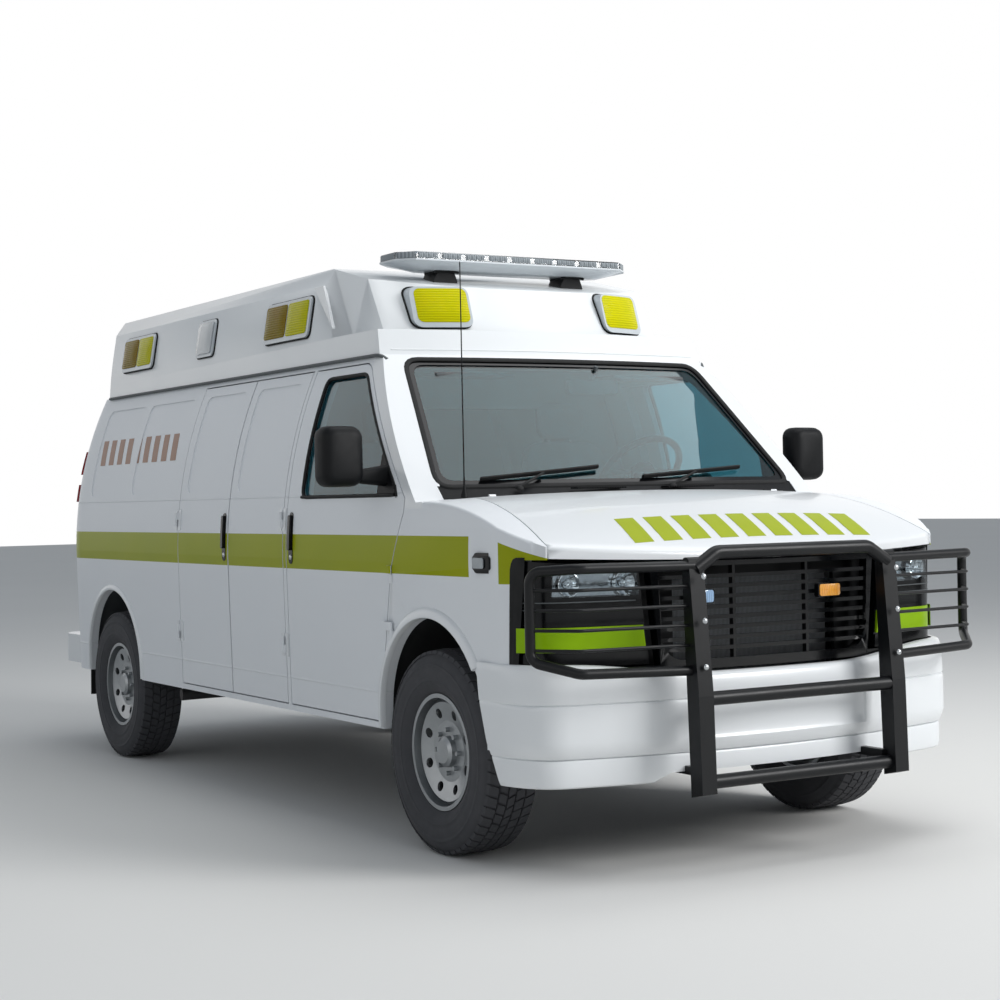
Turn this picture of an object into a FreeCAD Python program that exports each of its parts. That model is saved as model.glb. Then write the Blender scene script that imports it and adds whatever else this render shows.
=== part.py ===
import FreeCAD, Part
import math
import os

# Ambulance built on a full-size van, millimetres.
# +Z is up, the nose points along -Y and the driver's side is +X.
# Stations (Y) are counted rearwards from the front door hinge line's datum while modelling, and every
# node is shifted by SHIFT_Y when it is written, so that the origin lies under the middle of the vehicle.

V = FreeCAD.Vector

# ---- driving dimensions -------------------------------------------------------------------------
NOSE_END_Y = -1085.0        # foremost point of the brush guard
TAIL_END_Y = 4440.0         # rearmost point of the rear bumper
SHIFT_Y = -(NOSE_END_Y + TAIL_END_Y) / 2.0

FRONT_AXLE_Y = -85.0
WHEELBASE = 3514.0
REAR_AXLE_Y = FRONT_AXLE_Y + WHEELBASE

TYRE_R = 388.0
TYRE_W = 245.0
TYRE_FACE_X = 985.0         # outer side wall of each tyre
RIM_R = 221.0
RIM_W = 190.0
HUB_R = 75.0
SPINDLE_R = 25.0
RUNNING_FIT = 0.05
VENT_COUNT = 8
VENT_R = 19.0
VENT_PITCH_R = 150.0
STUD_COUNT = 8
STUD_PITCH_R = 82.5
STUD_R = 9.0

SILL_Z = 440.0
SILL_HALF_W = 985.0
BELT_Z = 1100.0
BELT_HALF_W = 1000.0
GUTTER_Z = 1945.0
GUTTER_HALF_W = 815.0
WALL = 45.0                 # side wall, door and hood thickness
SEAM = 6.0                  # gap round a door
FIT = 0.3                   # gap between fixed pieces that are fitted side by side
TAIL_AXIS = (600.0, 3930.0)  # upright axis of each rounded rear corner

FLOOR_Z = 640.0
FLOOR_T = 40.0
RAIL_X = 400.0
RAIL_W = 70.0
RAIL_H = 150.0
RAIL_FRONT_Y = -870.0
RAIL_REAR_Y = 4240.0

ARCH_R = 402.0
ARCH_TOP_Z = 899.0
LINER_GAP = 22.0
LINER_T = 8.0

NOSE_Y = -905.0             # hood's leading edge on the centre line
NOSE_CORNER = (905.0, -775.0)
NOSE_BEND = (977.0, -650.0)
NOSE_SIDE_Y = -420.0
BUMPER_PROUD = 55.0

COWL_Y = -120.0
HOOD_REAR_Z = 1366.0
HOOD_NOSE_Z = 1131.0
HOOD_BULGE = 50.0
HOOD_CROWN = 30.0

GLASS_T = 6.0
GLASS_SET = 12.0            # glass behind the outer skin
SCREEN_BASE = (-60.0, 1390.0)   # station and height of the windscreen surface on the centre line
SCREEN_SAG = 108.0          # how far the screen sweeps back at SCREEN_HALF_W
SCREEN_HALF_W = 888.0
SCREEN_TOP_HALF_W = 735.0
SCREEN_TOP_Z = 1925.0
SCREEN_LOW_Z = 1348.0

CAP_TOP_Z = 2395.0
CAP_WALL = 30.0


# ---- helpers ------------------------------------------------------------------------------------
def wire_of(points):
    """A closed wire from 3-D vectors; a tuple (mid, end) makes an arc and a vector makes a line."""
    edges = []
    start = points[0]
    here = start
    for item in points[1:]:
        if isinstance(item, tuple):
            edges.append(Part.Arc(here, item[0], item[1]).toShape())
            here = item[1]
        else:
            edges.append(Part.LineSegment(here, item).toShape())
            here = item
    if here.distanceToPoint(start) > 1e-6:
        edges.append(Part.LineSegment(here, start).toShape())
    return Part.Wire(edges)


def lift(plane, at, item):
    """A 2-D point or (mid, end) pair of 2-D points as vectors on the plane at the given offset."""
    if isinstance(item[0], tuple):
        return (lift(plane, at, item[0]), lift(plane, at, item[1]))
    u, v = item
    if plane == "XY":
        return V(u, v, at)
    if plane == "XZ":
        return V(u, at, v)
    return V(at, u, v)


def face_of(plane, at, outline, grow=0.0):
    face = Part.Face(wire_of([lift(plane, at, item) for item in outline]))
    if grow:
        face = Part.Face(face.OuterWire.makeOffset2D(grow, 2))
    return face


def prism(plane, outline, low, high, grow=0.0):
    """The outline on the plane, extruded from low to high along the plane's normal."""
    run = high - low
    along = {"XY": V(0, 0, run), "XZ": V(0, run, 0), "YZ": V(run, 0, 0)}[plane]
    return face_of(plane, low, outline, grow).extrude(along)


def box(x0, x1, y0, y1, z0, z1):
    return Part.makeBox(x1 - x0, y1 - y0, z1 - z0, V(x0, y0, z0))


def rod(a, b, radius):
    return Part.makeCylinder(radius, a.distanceToPoint(b), a, b - a)


def pipe(points, radius, bend):
    """A round tube along the points with every corner rounded to the bend radius."""
    edges = []
    here = points[0]
    for i in range(1, len(points) - 1):
        corner = points[i]
        back = (here - corner).normalize()
        ahead = (points[i + 1] - corner).normalize()
        half = back.getAngle(ahead) / 2.0
        cut = bend / math.tan(half)
        first = corner + back * cut
        last = corner + ahead * cut
        middle_way = (back + ahead).normalize()
        middle = corner + middle_way * (bend / math.sin(half) - bend)
        edges.append(Part.LineSegment(here, first).toShape())
        edges.append(Part.Arc(first, middle, last).toShape())
        here = last
    edges.append(Part.LineSegment(here, points[-1]).toShape())
    path = Part.Wire(edges)
    ring = Part.Wire(Part.makeCircle(radius, points[0], points[1] - points[0]))
    return path.makePipeShell([ring], True, True)


def fuse(shapes):
    result = shapes[0]
    if len(shapes) > 1:
        result = shapes[0].multiFuse(shapes[1:])
    return result.removeSplitter()


def mirrored(shape):
    return shape.mirror(V(0, 0, 0), V(1, 0, 0))


def both_sides(shape):
    return Part.makeCompound([shape, mirrored(shape)])


def rounded(x0, x1, y0, y1, r):
    """Outline of a rectangle with round corners, as 2-D points and arcs."""
    k = r * (1.0 - math.sqrt(0.5))
    return [(x0 + r, y0), (x1 - r, y0), ((x1 - k, y0 + k), (x1, y0 + r)),
            (x1, y1 - r), ((x1 - k, y1 - k), (x1 - r, y1)),
            (x0 + r, y1), ((x0 + k, y1 - k), (x0, y1 - r)),
            (x0, y0 + r), ((x0 + k, y0 + k), (x0 + r, y0))]


# ---- the body's outer form ----------------------------------------------------------------------
TUMBLE_R = ((GUTTER_Z - BELT_Z) ** 2 + (BELT_HALF_W - GUTTER_HALF_W) ** 2) / (2.0 * (BELT_HALF_W - GUTTER_HALF_W))
LOW_Z = 300.0               # well below the sill, for cutting volumes
HIGH_Z = 2150.0             # well above the gutter


def half_width(z, inset=0.0):
    """Half the body's width at a height: nearly upright below the belt, then a tumblehome arc."""
    if z <= BELT_Z:
        lean = (BELT_HALF_W - SILL_HALF_W) * (BELT_Z - z) / (BELT_Z - SILL_Z)
        return BELT_HALF_W - inset - lean
    radius = TUMBLE_R - inset
    return BELT_HALF_W - TUMBLE_R + math.sqrt(radius ** 2 - (z - BELT_Z) ** 2)


def half_section(inset, low, high, axis_x):
    """Outline of one half of the cross-section, from an upright axis out to the skin."""
    middle = (BELT_Z + high) / 2.0
    return [(axis_x, low), (half_width(low, inset), low), (half_width(BELT_Z, inset), BELT_Z),
            ((half_width(middle, inset), middle), (half_width(high, inset), high)), (axis_x, high)]


def nose_outline(proud):
    """Plan of the nose, moved out by `proud` (its sides hardly widen), closed far behind the cab."""
    nx, ny = NOSE_CORNER
    out = proud if proud < 0.0 else 0.1 * proud
    side = BELT_HALF_W + 5.0 + out
    bend = (NOSE_BEND[0] + (proud if proud < 0.0 else 0.45 * proud), NOSE_BEND[1] - 0.5 * proud)
    corner = (nx + 0.55 * proud, ny - 0.8 * proud)
    return [(side, NOSE_SIDE_Y), (bend, corner), ((0.0, NOSE_Y - proud), (-corner[0], corner[1])),
            ((-bend[0], bend[1]), (-side, NOSE_SIDE_Y)), (-side, REAR_AXLE_Y), (side, REAR_AXLE_Y)]


def hood_z(y, x=0.0):
    """Height of the hood's surface."""
    s = (y - NOSE_Y) / (COWL_Y - NOSE_Y)
    line = HOOD_NOSE_Z + (HOOD_REAR_Z - HOOD_NOSE_Z) * s
    return line + 4.0 * HOOD_BULGE * s * (1.0 - s) - HOOD_CROWN * (x / 935.0) ** 2


def under_hood(inset):
    """Everything below the hood's surface, lofted through a few crowned sections."""
    edge = BELT_HALF_W + 60.0
    wires = []
    for y in (NOSE_Y - 120.0, NOSE_Y + 60.0, NOSE_Y + 300.0, -350.0, 60.0):
        top = hood_z(y) - inset
        side = hood_z(y, edge) - inset
        low = V(edge, y, LOW_Z)
        wires.append(wire_of([low, V(edge, y, side), (V(0, y, top), V(-edge, y, side)), V(-edge, y, LOW_Z), low]))
    return Part.makeLoft(wires, True, False)


def behind_screen(inset):
    """Everything behind the windscreen's surface, which is an arc in plan leaning back at 45 degrees."""
    y0, z0 = SCREEN_BASE
    drop = z0 - LOW_Z
    low_y = y0 - drop + inset * math.sqrt(2.0)
    wide = BELT_HALF_W + 40.0
    sag = SCREEN_SAG * (wide / SCREEN_HALF_W) ** 2
    face = face_of("XY", LOW_Z, [(wide, low_y + sag), ((0.0, low_y), (-wide, low_y + sag)),
                                 (-wide, low_y + 2600.0), (wide, low_y + 2600.0)])
    rise = HIGH_Z - LOW_Z
    return face.extrude(V(0, rise, rise))


VOLUMES = {}


def body_volume(inset):
    """The closed outer form of nose, cab and load body, moved in by a wall thickness."""
    if inset in VOLUMES:
        return VOLUMES[inset]
    low = SILL_Z if inset == 0.0 else LOW_Z + 1.0
    high = GUTTER_Z if inset == 0.0 else HIGH_Z - 60.0
    ax, ay = TAIL_AXIS
    half = half_section(inset, low, high, 0.0)
    front_y = NOSE_Y - 200.0
    side = prism("XZ", half, front_y, ay)
    front = fuse([side, mirrored(side)])
    nose_top = under_hood(inset).fuse(behind_screen(inset)).fuse(
        box(-1100, 1100, 900, ay + 200, LOW_Z, HIGH_Z))
    nose_plan = prism("XY", nose_outline(-inset), LOW_Z, HIGH_Z)
    nose_plan = nose_plan.fuse(box(-1100, 1100, 900, ay + 200, LOW_Z, HIGH_Z))
    front = front.common(nose_top).common(nose_plan)
    corner = Part.Face(wire_of([lift("XZ", ay, p) for p in half_section(inset, low, high, ax)]))
    corner = corner.revolve(V(ax, ay, 0), V(0, 0, 1), 90)
    middle = (BELT_Z + high) / 2.0
    reach = ay - ax
    profile = [(ay, low), (reach + half_width(low, inset), low), (reach + half_width(BELT_Z, inset), BELT_Z),
               ((reach + half_width(middle, inset), middle), (reach + half_width(high, inset), high)), (ay, high)]
    tail = prism("YZ", profile, -ax, ax)
    VOLUMES[inset] = fuse([front, corner, mirrored(corner), tail])
    return VOLUMES[inset]


def layer(outer, inner, region):
    """The layer of the body between two insets, within a region."""
    return body_volume(outer).common(region).cut(body_volume(inner))


# ---- panels: outlines of doors and windows, seen from the side (station, height) ----------------
DOOR_FRONT_Y = 338.0
DOOR_REAR_Y = 1178.0
POST_REAR_Y = 1214.0        # rear edge of the post between front door and load doors
LOAD_SEAM_Y = 1825.0
LOAD_REAR_Y = 2450.0
DOOR_LOW_Z = 468.0
DOOR_TOP_Z = 1915.0
WINDOW_LOW_Z = 1362.0
WINDOW_TOP_Z = 1870.0
DOOR_SILL_CORNER = (DOOR_FRONT_Y, DOOR_LOW_Z)
DOOR_KNEE = (210.0, 1060.0)

FRONT_DOOR = [DOOR_SILL_CORNER, (DOOR_REAR_Y, DOOR_LOW_Z), (DOOR_REAR_Y, DOOR_TOP_Z),
              (700.0, DOOR_TOP_Z), ((655.0, 1900.0), (620.0, 1870.0)), (105.0, 1350.0), (105.0, 1300.0),
              DOOR_KNEE]
FRONT_WINDOW = [(175.0, WINDOW_LOW_Z), (1000.0, WINDOW_LOW_Z), ((1029.0, 1374.0), (1041.0, 1403.0)),
                (1041.0, 1829.0), ((1029.0, 1858.0), (1000.0, WINDOW_TOP_Z)), (712.0, WINDOW_TOP_Z),
                ((668.0, 1857.0), (632.0, 1829.0)), (190.0, 1392.0)]
MEETING = 3.0               # each of two doors that meet stands back this much more, to swing past
REBATE = 16.0               # the load doors' meeting edges are set back this far behind their outer lip
LIP_T = 18.0
LOAD_DOOR_FRONT = [(POST_REAR_Y, DOOR_LOW_Z), (LOAD_SEAM_Y - MEETING, DOOR_LOW_Z),
                   (LOAD_SEAM_Y - MEETING, DOOR_TOP_Z), (POST_REAR_Y, DOOR_TOP_Z)]
LOAD_DOOR_REAR = [(LOAD_SEAM_Y + MEETING, DOOR_LOW_Z), (LOAD_REAR_Y, DOOR_LOW_Z), (LOAD_REAR_Y, DOOR_TOP_Z),
                  (LOAD_SEAM_Y + MEETING, DOOR_TOP_Z)]
LOAD_OPENING = [(POST_REAR_Y, DOOR_LOW_Z), (LOAD_REAR_Y, DOOR_LOW_Z), (LOAD_REAR_Y, DOOR_TOP_Z),
                (POST_REAR_Y, DOOR_TOP_Z)]
PRESSING_T = 5.0
PRESSINGS = [  # blank window pressings: first station, last station, low height, high height
    (1285.0, 1755.0, 1400.0, 1868.0),
    (1895.0, 2375.0, 1400.0, 1868.0),
    (2540.0, 3160.0, 1400.0, 1868.0),
    (3230.0, 3800.0, 1400.0, 1868.0),
]

# rear doors, seen from behind (half width, height)
REAR_DOOR_HALF_W = 700.0
REAR_DOOR_LOW_Z = 660.0
REAR_DOOR_TOP_Z = 1880.0
REAR_DOOR = [(MEETING, REAR_DOOR_LOW_Z), (REAR_DOOR_HALF_W, REAR_DOOR_LOW_Z), (REAR_DOOR_HALF_W, 1450.0),
             (590.0, 1840.0), ((575.0, 1868.0), (545.0, REAR_DOOR_TOP_Z)), (MEETING, REAR_DOOR_TOP_Z)]
REAR_OPENING = [(-REAR_DOOR_HALF_W, REAR_DOOR_LOW_Z), (REAR_DOOR_HALF_W, REAR_DOOR_LOW_Z),
                (REAR_DOOR_HALF_W, 1450.0), (590.0, 1840.0), ((575.0, 1868.0), (545.0, REAR_DOOR_TOP_Z)),
                (-545.0, REAR_DOOR_TOP_Z), ((-575.0, 1868.0), (-590.0, 1840.0)), (-REAR_DOOR_HALF_W, 1450.0)]
REAR_WINDOW = rounded(90.0, 520.0, 1300.0, 1740.0, 50.0)

HINGE_R = 6.0
HINGE_H = 34.0
HINGE_STACK = 0.3
HINGE_X = BELT_HALF_W + HINGE_R
HINGE_LEVELS = (690.0, 1235.0)
DOOR_HINGE_Y = 200.0
DOOR_HINGE_LEVELS = (800.0, 1020.0)
REAR_HINGE_Y = 4352.0
LEAF = 14.0                 # how far a hinge leaf reaches from its pin line
LEAF_T = 6.0
LEAF_SUNK = 8.0             # how deep a leaf is let into the skin


def side_prism(outline, grow=0.0, side=1):
    """A side outline extruded through the wall of one side (+1 is the driver's)."""
    solid = prism("YZ", outline, 600.0, 1200.0, grow)
    return on_side(solid, side)


def rear_prism(outline, grow=0.0, side=1):
    solid = prism("XZ", outline, TAIL_AXIS[1] + 60.0, TAIL_END_Y + 100.0, grow)
    return on_side(solid, side)


def arch(axle_y, grow, x0, x1):
    """A wheel opening: an upright-sided arch over the axle."""
    r = ARCH_R + grow
    centre_z = ARCH_TOP_Z - ARCH_R
    low = 200.0
    outline = [(axle_y - r, low), (axle_y + r, low), (axle_y + r, centre_z),
               ((axle_y, centre_z + r), (axle_y - r, centre_z))]
    return prism("YZ", outline, x0, x1)


def arches(grow, x0=600.0, x1=1200.0):
    cuts = []
    for axle_y in (FRONT_AXLE_Y, REAR_AXLE_Y):
        cuts.append(arch(axle_y, grow, x0, x1))
        cuts.append(arch(axle_y, grow, -x1, -x0))
    return cuts


HOOD = [(790.0, -70.0), ((0.0, -160.0), (-790.0, -70.0)), (-846.0, -400.0), (-893.0, -735.0), (-920.0, -1100.0),
        (920.0, -1100.0), (893.0, -735.0), (846.0, -400.0)]
HOOD_LOW_Z = 1124.0


def hood_prism(grow):
    return prism("XY", HOOD, HOOD_LOW_Z - grow, 1500.0, grow)


LAMP_INNER_TOP_X = 572.0
LAMP_INNER_LOW_X = 528.0
LAMP_LOW_Z = 742.0
LAMP_TOP_Z = 1121.0
LAMP_SIDE_Y = (-690.0, -655.0)   # rear edge of the headlamp at its top and bottom


def lamp_prism(grow, side=1):
    """Space of one headlamp: between its slanting inner edge and its rear edge on the fender."""
    seen = prism("XZ", [(LAMP_INNER_LOW_X, LAMP_LOW_Z), (1200.0, LAMP_LOW_Z), (1200.0, LAMP_TOP_Z),
                        (LAMP_INNER_TOP_X, LAMP_TOP_Z)], -1300.0, 0.0, grow)
    rear = prism("YZ", [(-1400.0, 600.0), (LAMP_SIDE_Y[1] + grow, 600.0), (LAMP_SIDE_Y[1] + grow, LAMP_LOW_Z),
                        (LAMP_SIDE_Y[0] + grow, LAMP_TOP_Z), (LAMP_SIDE_Y[0] + grow, 1200.0), (-1400.0, 1200.0)],
                 0.0, 1300.0)
    solid = seen.common(rear)
    return on_side(solid, side)


BUMPER_TOP_Z = 706.0
BUMPER_CREASE_Z = 618.0
BUMPER_LIP_Z = 439.0
BUMPER_LOW_Z = 325.0
BUMPER_SIDE = [(-1200.0, 200.0), (-600.0, 200.0), (-590.0, BUMPER_LOW_Z), (-520.0, 470.0), (-468.0, 640.0),
               (-452.0, 800.0), (-1200.0, 800.0)]


def hinge_half(x, y, z, leaves):
    """One barrel of a hinge with its leaves, each given by two x and two y limits."""
    pieces = [Part.makeCylinder(HINGE_R, HINGE_H, V(x, y, z))]
    for x0, x1, y0, y1 in leaves:
        pieces.append(box(x0, x1, y0, y1, z, z + HINGE_H))
    return fuse(pieces)


def above(z):
    """Height of a hinge's upper barrel, which belongs to the door."""
    return z + HINGE_H + HINGE_STACK


def seam_y(z):
    """Station of the front door's leading edge below its knee."""
    (y0, z0), (y1, z1) = DOOR_SILL_CORNER, DOOR_KNEE
    return y0 + (y1 - y0) * (z - z0) / (z1 - z0)


def front_hinge_body(z):
    return hinge_half(HINGE_X, DOOR_HINGE_Y, z,
                      [(half_width(z) - LEAF_SUNK, HINGE_X, DOOR_HINGE_Y - 10.0, DOOR_HINGE_Y + HINGE_R)])


def front_hinge_door(z):
    top = above(z)
    edge = seam_y(top + HINGE_H / 2.0)
    plate = (HINGE_X - LEAF_T / 2.0, HINGE_X + LEAF_T / 2.0, DOOR_HINGE_Y, edge + 22.0)
    foot = (half_width(top) - LEAF_SUNK, HINGE_X + LEAF_T / 2.0, edge + 9.0, edge + 22.0)
    return hinge_half(HINGE_X, DOOR_HINGE_Y, top, [plate, foot])


def load_hinge(y, z, way):
    """Half of a load door's hinge; `way` points along Y from the pin line to what the leaf is fixed to."""
    near, far = sorted((y + way * SEAM / 2.0, y + way * LEAF))
    return mirrored(hinge_half(HINGE_X, y, z, [(half_width(z) - LEAF_SUNK, HINGE_X, near, far)]))


def rear_hinge(z, way):
    """Half of a rear door's hinge on the driver's side; `way` points along X from the pin line."""
    x = REAR_DOOR_HALF_W
    near, far = sorted((x + way * SEAM / 2.0, x + way * LEAF))
    return hinge_half(x, REAR_HINGE_Y, z, [(near, far, REAR_HINGE_Y - 50.0, REAR_HINGE_Y)])


def on_side(solid, side):
    """A solid made for the driver's side, or its mirror image."""
    return solid if side > 0 else mirrored(solid)


def cut_all(solid, cutters):
    for cutter in cutters:
        solid = solid.cut(cutter)
    return solid


# ---- body ---------------------------------------------------------------------------------------
def screen_opening_outline():
    w, tw = SCREEN_HALF_W - 15.0, SCREEN_TOP_HALF_W
    top = SCREEN_TOP_Z
    return [(-w, SCREEN_LOW_Z), (w, SCREEN_LOW_Z), (tw + 18.0, top - 50.0), ((tw - 6.0, top - 12.0), (tw - 50.0, top)),
            (-tw + 50.0, top), ((-tw + 6.0, top - 12.0), (-tw - 18.0, top - 50.0))]


def screen_opening():
    return prism("XZ", screen_opening_outline(), -400.0, 760.0)


COWL_SPLIT_Z = 1310.0
COWL_HALF_W = SCREEN_HALF_W - 15.0
FRAME_FRONT_Y = -40.0         # the screen pillars start here, behind the wings
ROCKER_Y = 345.0            # the sill runs rearward from here
FIREWALL_Y = 64.0
FIREWALL_T = 30.0
PILLAR_IN = 97.0            # inner face of the pillars, inward from the outer skin


def pressings(side):
    """Shallow blank window pressings, as pieces to take out of the outer skin."""
    cuts = []
    for y0, y1, z0, z1 in PRESSINGS:
        cuts.append(layer(0.0, PRESSING_T, side_prism(rounded(y0, y1, z0, z1, 40.0), 0.0, side)))
    return cuts


def body_side(side):
    """Load body's wall behind the cab, with its roof rail and the pillars that carry the doors."""
    near, far = (0.0, 1200.0) if side > 0 else (-1200.0, 0.0)
    wall = layer(0.0, WALL, box(near, far, 640.0, TAIL_END_Y, SILL_Z, GUTTER_Z))
    rocker = layer(0.0, WALL, box(near, far, ROCKER_Y, 640.0, SILL_Z, DOOR_LOW_Z - SEAM / 2.0))
    wall = cut_all(wall, [side_prism(FRONT_DOOR, SEAM / 2.0, side), rear_prism(REAR_OPENING, SEAM / 2.0)])
    if side < 0:
        wall = wall.cut(side_prism(LOAD_OPENING, SEAM / 2.0, side))
    wall = cut_all(wall, arches(0.0) + pressings(side))
    tail = TAIL_AXIS[1] - 30.0
    pieces = [wall, rocker]
    for y0, y1, z0 in ((690.0, tail, DOOR_TOP_Z - 55.0), (1128.0, 1236.0, FLOOR_Z),
                       (LOAD_REAR_Y - 40.0, LOAD_REAR_Y + 60.0, FLOOR_Z)):
        pieces.append(layer(WALL + SEAM, PILLAR_IN, box(near, far, y0, y1, z0, GUTTER_Z)))
    for y0, y1, z0 in ((690.0, tail, DOOR_TOP_Z + SEAM), (DOOR_REAR_Y + SEAM, POST_REAR_Y - SEAM, FLOOR_Z),
                       (LOAD_REAR_Y + SEAM, LOAD_REAR_Y + 60.0, FLOOR_Z)):
        pieces.append(layer(WALL, WALL + SEAM, box(near, far, y0, y1, z0, GUTTER_Z)))
    for z in HINGE_LEVELS:
        pieces.append(on_side(rear_hinge(z, 1.0), side))
        if side < 0:
            pieces.append(load_hinge(POST_REAR_Y, z, -1.0))
            pieces.append(load_hinge(LOAD_REAR_Y, z, 1.0))
    return fuse(pieces)


def cab_frame():
    """Screen pillars and the header over the windscreen."""
    half = COWL_HALF_W + FIT
    region = box(-1200.0, 1200.0, FRAME_FRONT_Y, 640.0, COWL_SPLIT_Z, GUTTER_Z)
    region = region.cut(box(-half, half, -200.0, COWL_REAR_Y, 1300.0, SCREEN_GLASS_LOW_Z))
    return cut_all(layer(0.0, WALL, region), [side_prism(FRONT_DOOR, SEAM / 2.0, 1),
                                              side_prism(FRONT_DOOR, SEAM / 2.0, -1), screen_opening()])


FENDER_INNER_X = 735.0


def fenders():
    """Front wings from the headlamps back to the doors, with the body's half of each door hinge."""
    front = box(FENDER_INNER_X, 1200.0, -905.0, FRAME_FRONT_Y, SILL_Z, 1500.0)
    rear = box(FENDER_INNER_X, 1200.0, FRAME_FRONT_Y, ROCKER_Y, SILL_Z, COWL_SPLIT_Z)
    region = front.fuse(rear).removeSplitter().cut(box(0.0, COWL_HALF_W + FIT, -76.0, 400.0, COWL_SPLIT_Z, 1500.0))
    skin = layer(0.0, WALL, region)
    skin = cut_all(skin, [side_prism(FRONT_DOOR, SEAM / 2.0), arch(FRONT_AXLE_Y, 0.0, 600.0, 1200.0),
                          hood_prism(SEAM / 2.0), lamp_prism(2.0),
                          box(0.0, 1200.0, -1200.0, -560.0, 0.0, BUMPER_TOP_Z + 6.0),
                          box(0.0, 1200.0, -1200.0, LAMP_SIDE_Y[1], 0.0, LAMP_LOW_Z + 2.0)])
    skin = max(skin.Solids, key=lambda solid: solid.Volume)
    return both_sides(fuse([skin] + [front_hinge_body(z) for z in DOOR_HINGE_LEVELS]))


def floor_pan():
    """Floor with boxes over the rear wheels and the firewall below the cowl."""
    inner = body_volume(WALL)
    low = FLOOR_Z - FLOOR_T
    slab = box(-1100.0, 1100.0, FIREWALL_Y, TAIL_AXIS[1] + 420.0, low, FLOOR_Z).common(inner)
    wall = box(-1100.0, 1100.0, FIREWALL_Y, FIREWALL_Y + FIREWALL_T, low, COWL_SPLIT_Z).common(inner)
    pieces = [slab, wall]
    cuts = []
    for side in (-1, 1):
        boxed = on_side(arch(REAR_AXLE_Y, LINER_GAP + LINER_T + 20.0, 700.0, 1100.0), side).common(inner)
        pieces.append(boxed.common(box(-1100.0, 1100.0, 0.0, TAIL_END_Y, low, 1300.0)))
        cuts.append(on_side(arch(REAR_AXLE_Y, LINER_GAP, 708.0, 1100.0), side))
        cuts.append(on_side(arch(FRONT_AXLE_Y, LINER_GAP + LINER_T, 440.0, 1100.0), side))
    return cut_all(fuse(pieces), cuts)


# ---- roof cap -----------------------------------------------------------------------------------
CAP_HALF_W = 822.0          # skirt at the gutter
CAP_SKIRT_TOP_Z = 2055.0
CAP_SHOULDER = (766.0, CAP_TOP_Z - 93.0)
CAP_EDGE = (694.0, CAP_TOP_Z - 13.0)
CAP_FOOT_Z = GUTTER_Z - 60.0    # cutting volumes of the cap start here
CAP_RISE = CAP_TOP_Z + 60.0 - GUTTER_Z
CAP_BROW_Y = 508.0          # lower band of the front, over the windscreen
CAP_BROW_SAG = 95.0
CAP_BROW_LEAN = 0.4
CAP_NOSE_Y = 548.0
CAP_SAG = 245.0
CAP_NOSE_LEAN = 0.58        # how far the front face runs back for each unit it rises
CAP_BROW = (770.0, CAP_TOP_Z - 133.0)  # top of the front face, seen from the side
CAP_CREST_Y = 1330.0
CAP_CORNER_X = 704.0        # wall of the stepped-in front corners
CAP_CORNER_Y = (1070.0, 1266.0)
CAP_TAIL_Y = 4150.0
CAP_BACK_LEAN = 130.0


def cap_plan(grow, front_y, sag, tail_y):
    """Plan of the cap: bowed front, straight sides and rounded rear corners."""
    w = CAP_HALF_W + 6.0 + grow
    f = front_y - grow
    t = tail_y + grow
    return [(w, f + sag), ((0.0, f), (-w, f + sag)), (-w, t - 330.0),
            ((-w + 62.0, t - 120.0), (-w + 250.0, t)), (w - 250.0, t), ((w - 62.0, t - 120.0), (w, t - 330.0))]


def cap_volume(inset):
    """The cap's outer form, moved in by a wall thickness."""
    low = GUTTER_Z if inset == 0.0 else CAP_FOOT_Z
    sw, sz = CAP_SHOULDER
    ew, ez = CAP_EDGE
    outline = [(CAP_HALF_W - inset, low), (CAP_HALF_W - 14.0 - inset, CAP_SKIRT_TOP_Z), (sw - inset, sz - inset / 2.0),
               (ew - inset * 0.7, ez - inset), (0.0, CAP_TOP_Z - inset)]
    outline = outline + [(-u, v) for u, v in reversed(outline[:-1])]
    bar = prism("XZ", outline, 300.0, CAP_TAIL_Y + 200.0)
    far = CAP_TAIL_Y + 60.0
    skirt = face_of("XY", CAP_FOOT_Z, cap_plan(-inset, CAP_BROW_Y - 60.0 * CAP_BROW_LEAN, CAP_BROW_SAG, far))
    rise = CAP_SKIRT_TOP_Z - CAP_FOOT_Z
    upper = skirt.extrude(V(0, rise * CAP_BROW_LEAN, rise))
    upper = upper.fuse(raked_front(-inset)).fuse(box(-900, 900, 1400.0, CAP_TAIL_Y + 400.0, 1800, CAP_TOP_Z + 105.0))
    by, bz = CAP_BROW
    top = [(0.0, 1800.0), (0.0, bz - 130.0 - inset), (by, bz - inset), (CAP_CREST_Y, CAP_TOP_Z - inset),
           (CAP_CREST_Y, CAP_TOP_Z + 105.0), (CAP_TAIL_Y + 300.0, CAP_TOP_Z + 105.0), (CAP_TAIL_Y + 300.0, 1800.0)]
    bar = bar.common(upper).common(prism("YZ", top, -1000.0, 1000.0))
    back = face_of("XY", CAP_FOOT_Z, cap_plan(-inset, -500.0, CAP_SAG, CAP_TAIL_Y))
    bar = bar.common(back.extrude(V(0, -CAP_BACK_LEAN, CAP_RISE)))
    low_y, high_y = CAP_CORNER_Y
    shift = inset * 1.2
    step = [(0.0, CAP_SKIRT_TOP_Z - inset), (low_y + shift, CAP_SKIRT_TOP_Z - inset), (high_y + shift, CAP_TOP_Z + 25.0),
            (0.0, CAP_TOP_Z + 25.0)]
    corner = prism("YZ", step, CAP_CORNER_X - inset, 900.0)
    return bar.cut(corner).cut(mirrored(corner))


def raked_front(grow):
    """Everything behind the cap's raked and bowed upper front."""
    face = face_of("XY", CAP_FOOT_Z, cap_plan(grow, CAP_NOSE_Y - 60.0 * CAP_NOSE_LEAN, CAP_SAG, CAP_TAIL_Y + 60.0))
    return face.extrude(V(0, CAP_RISE * CAP_NOSE_LEAN, CAP_RISE))


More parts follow.
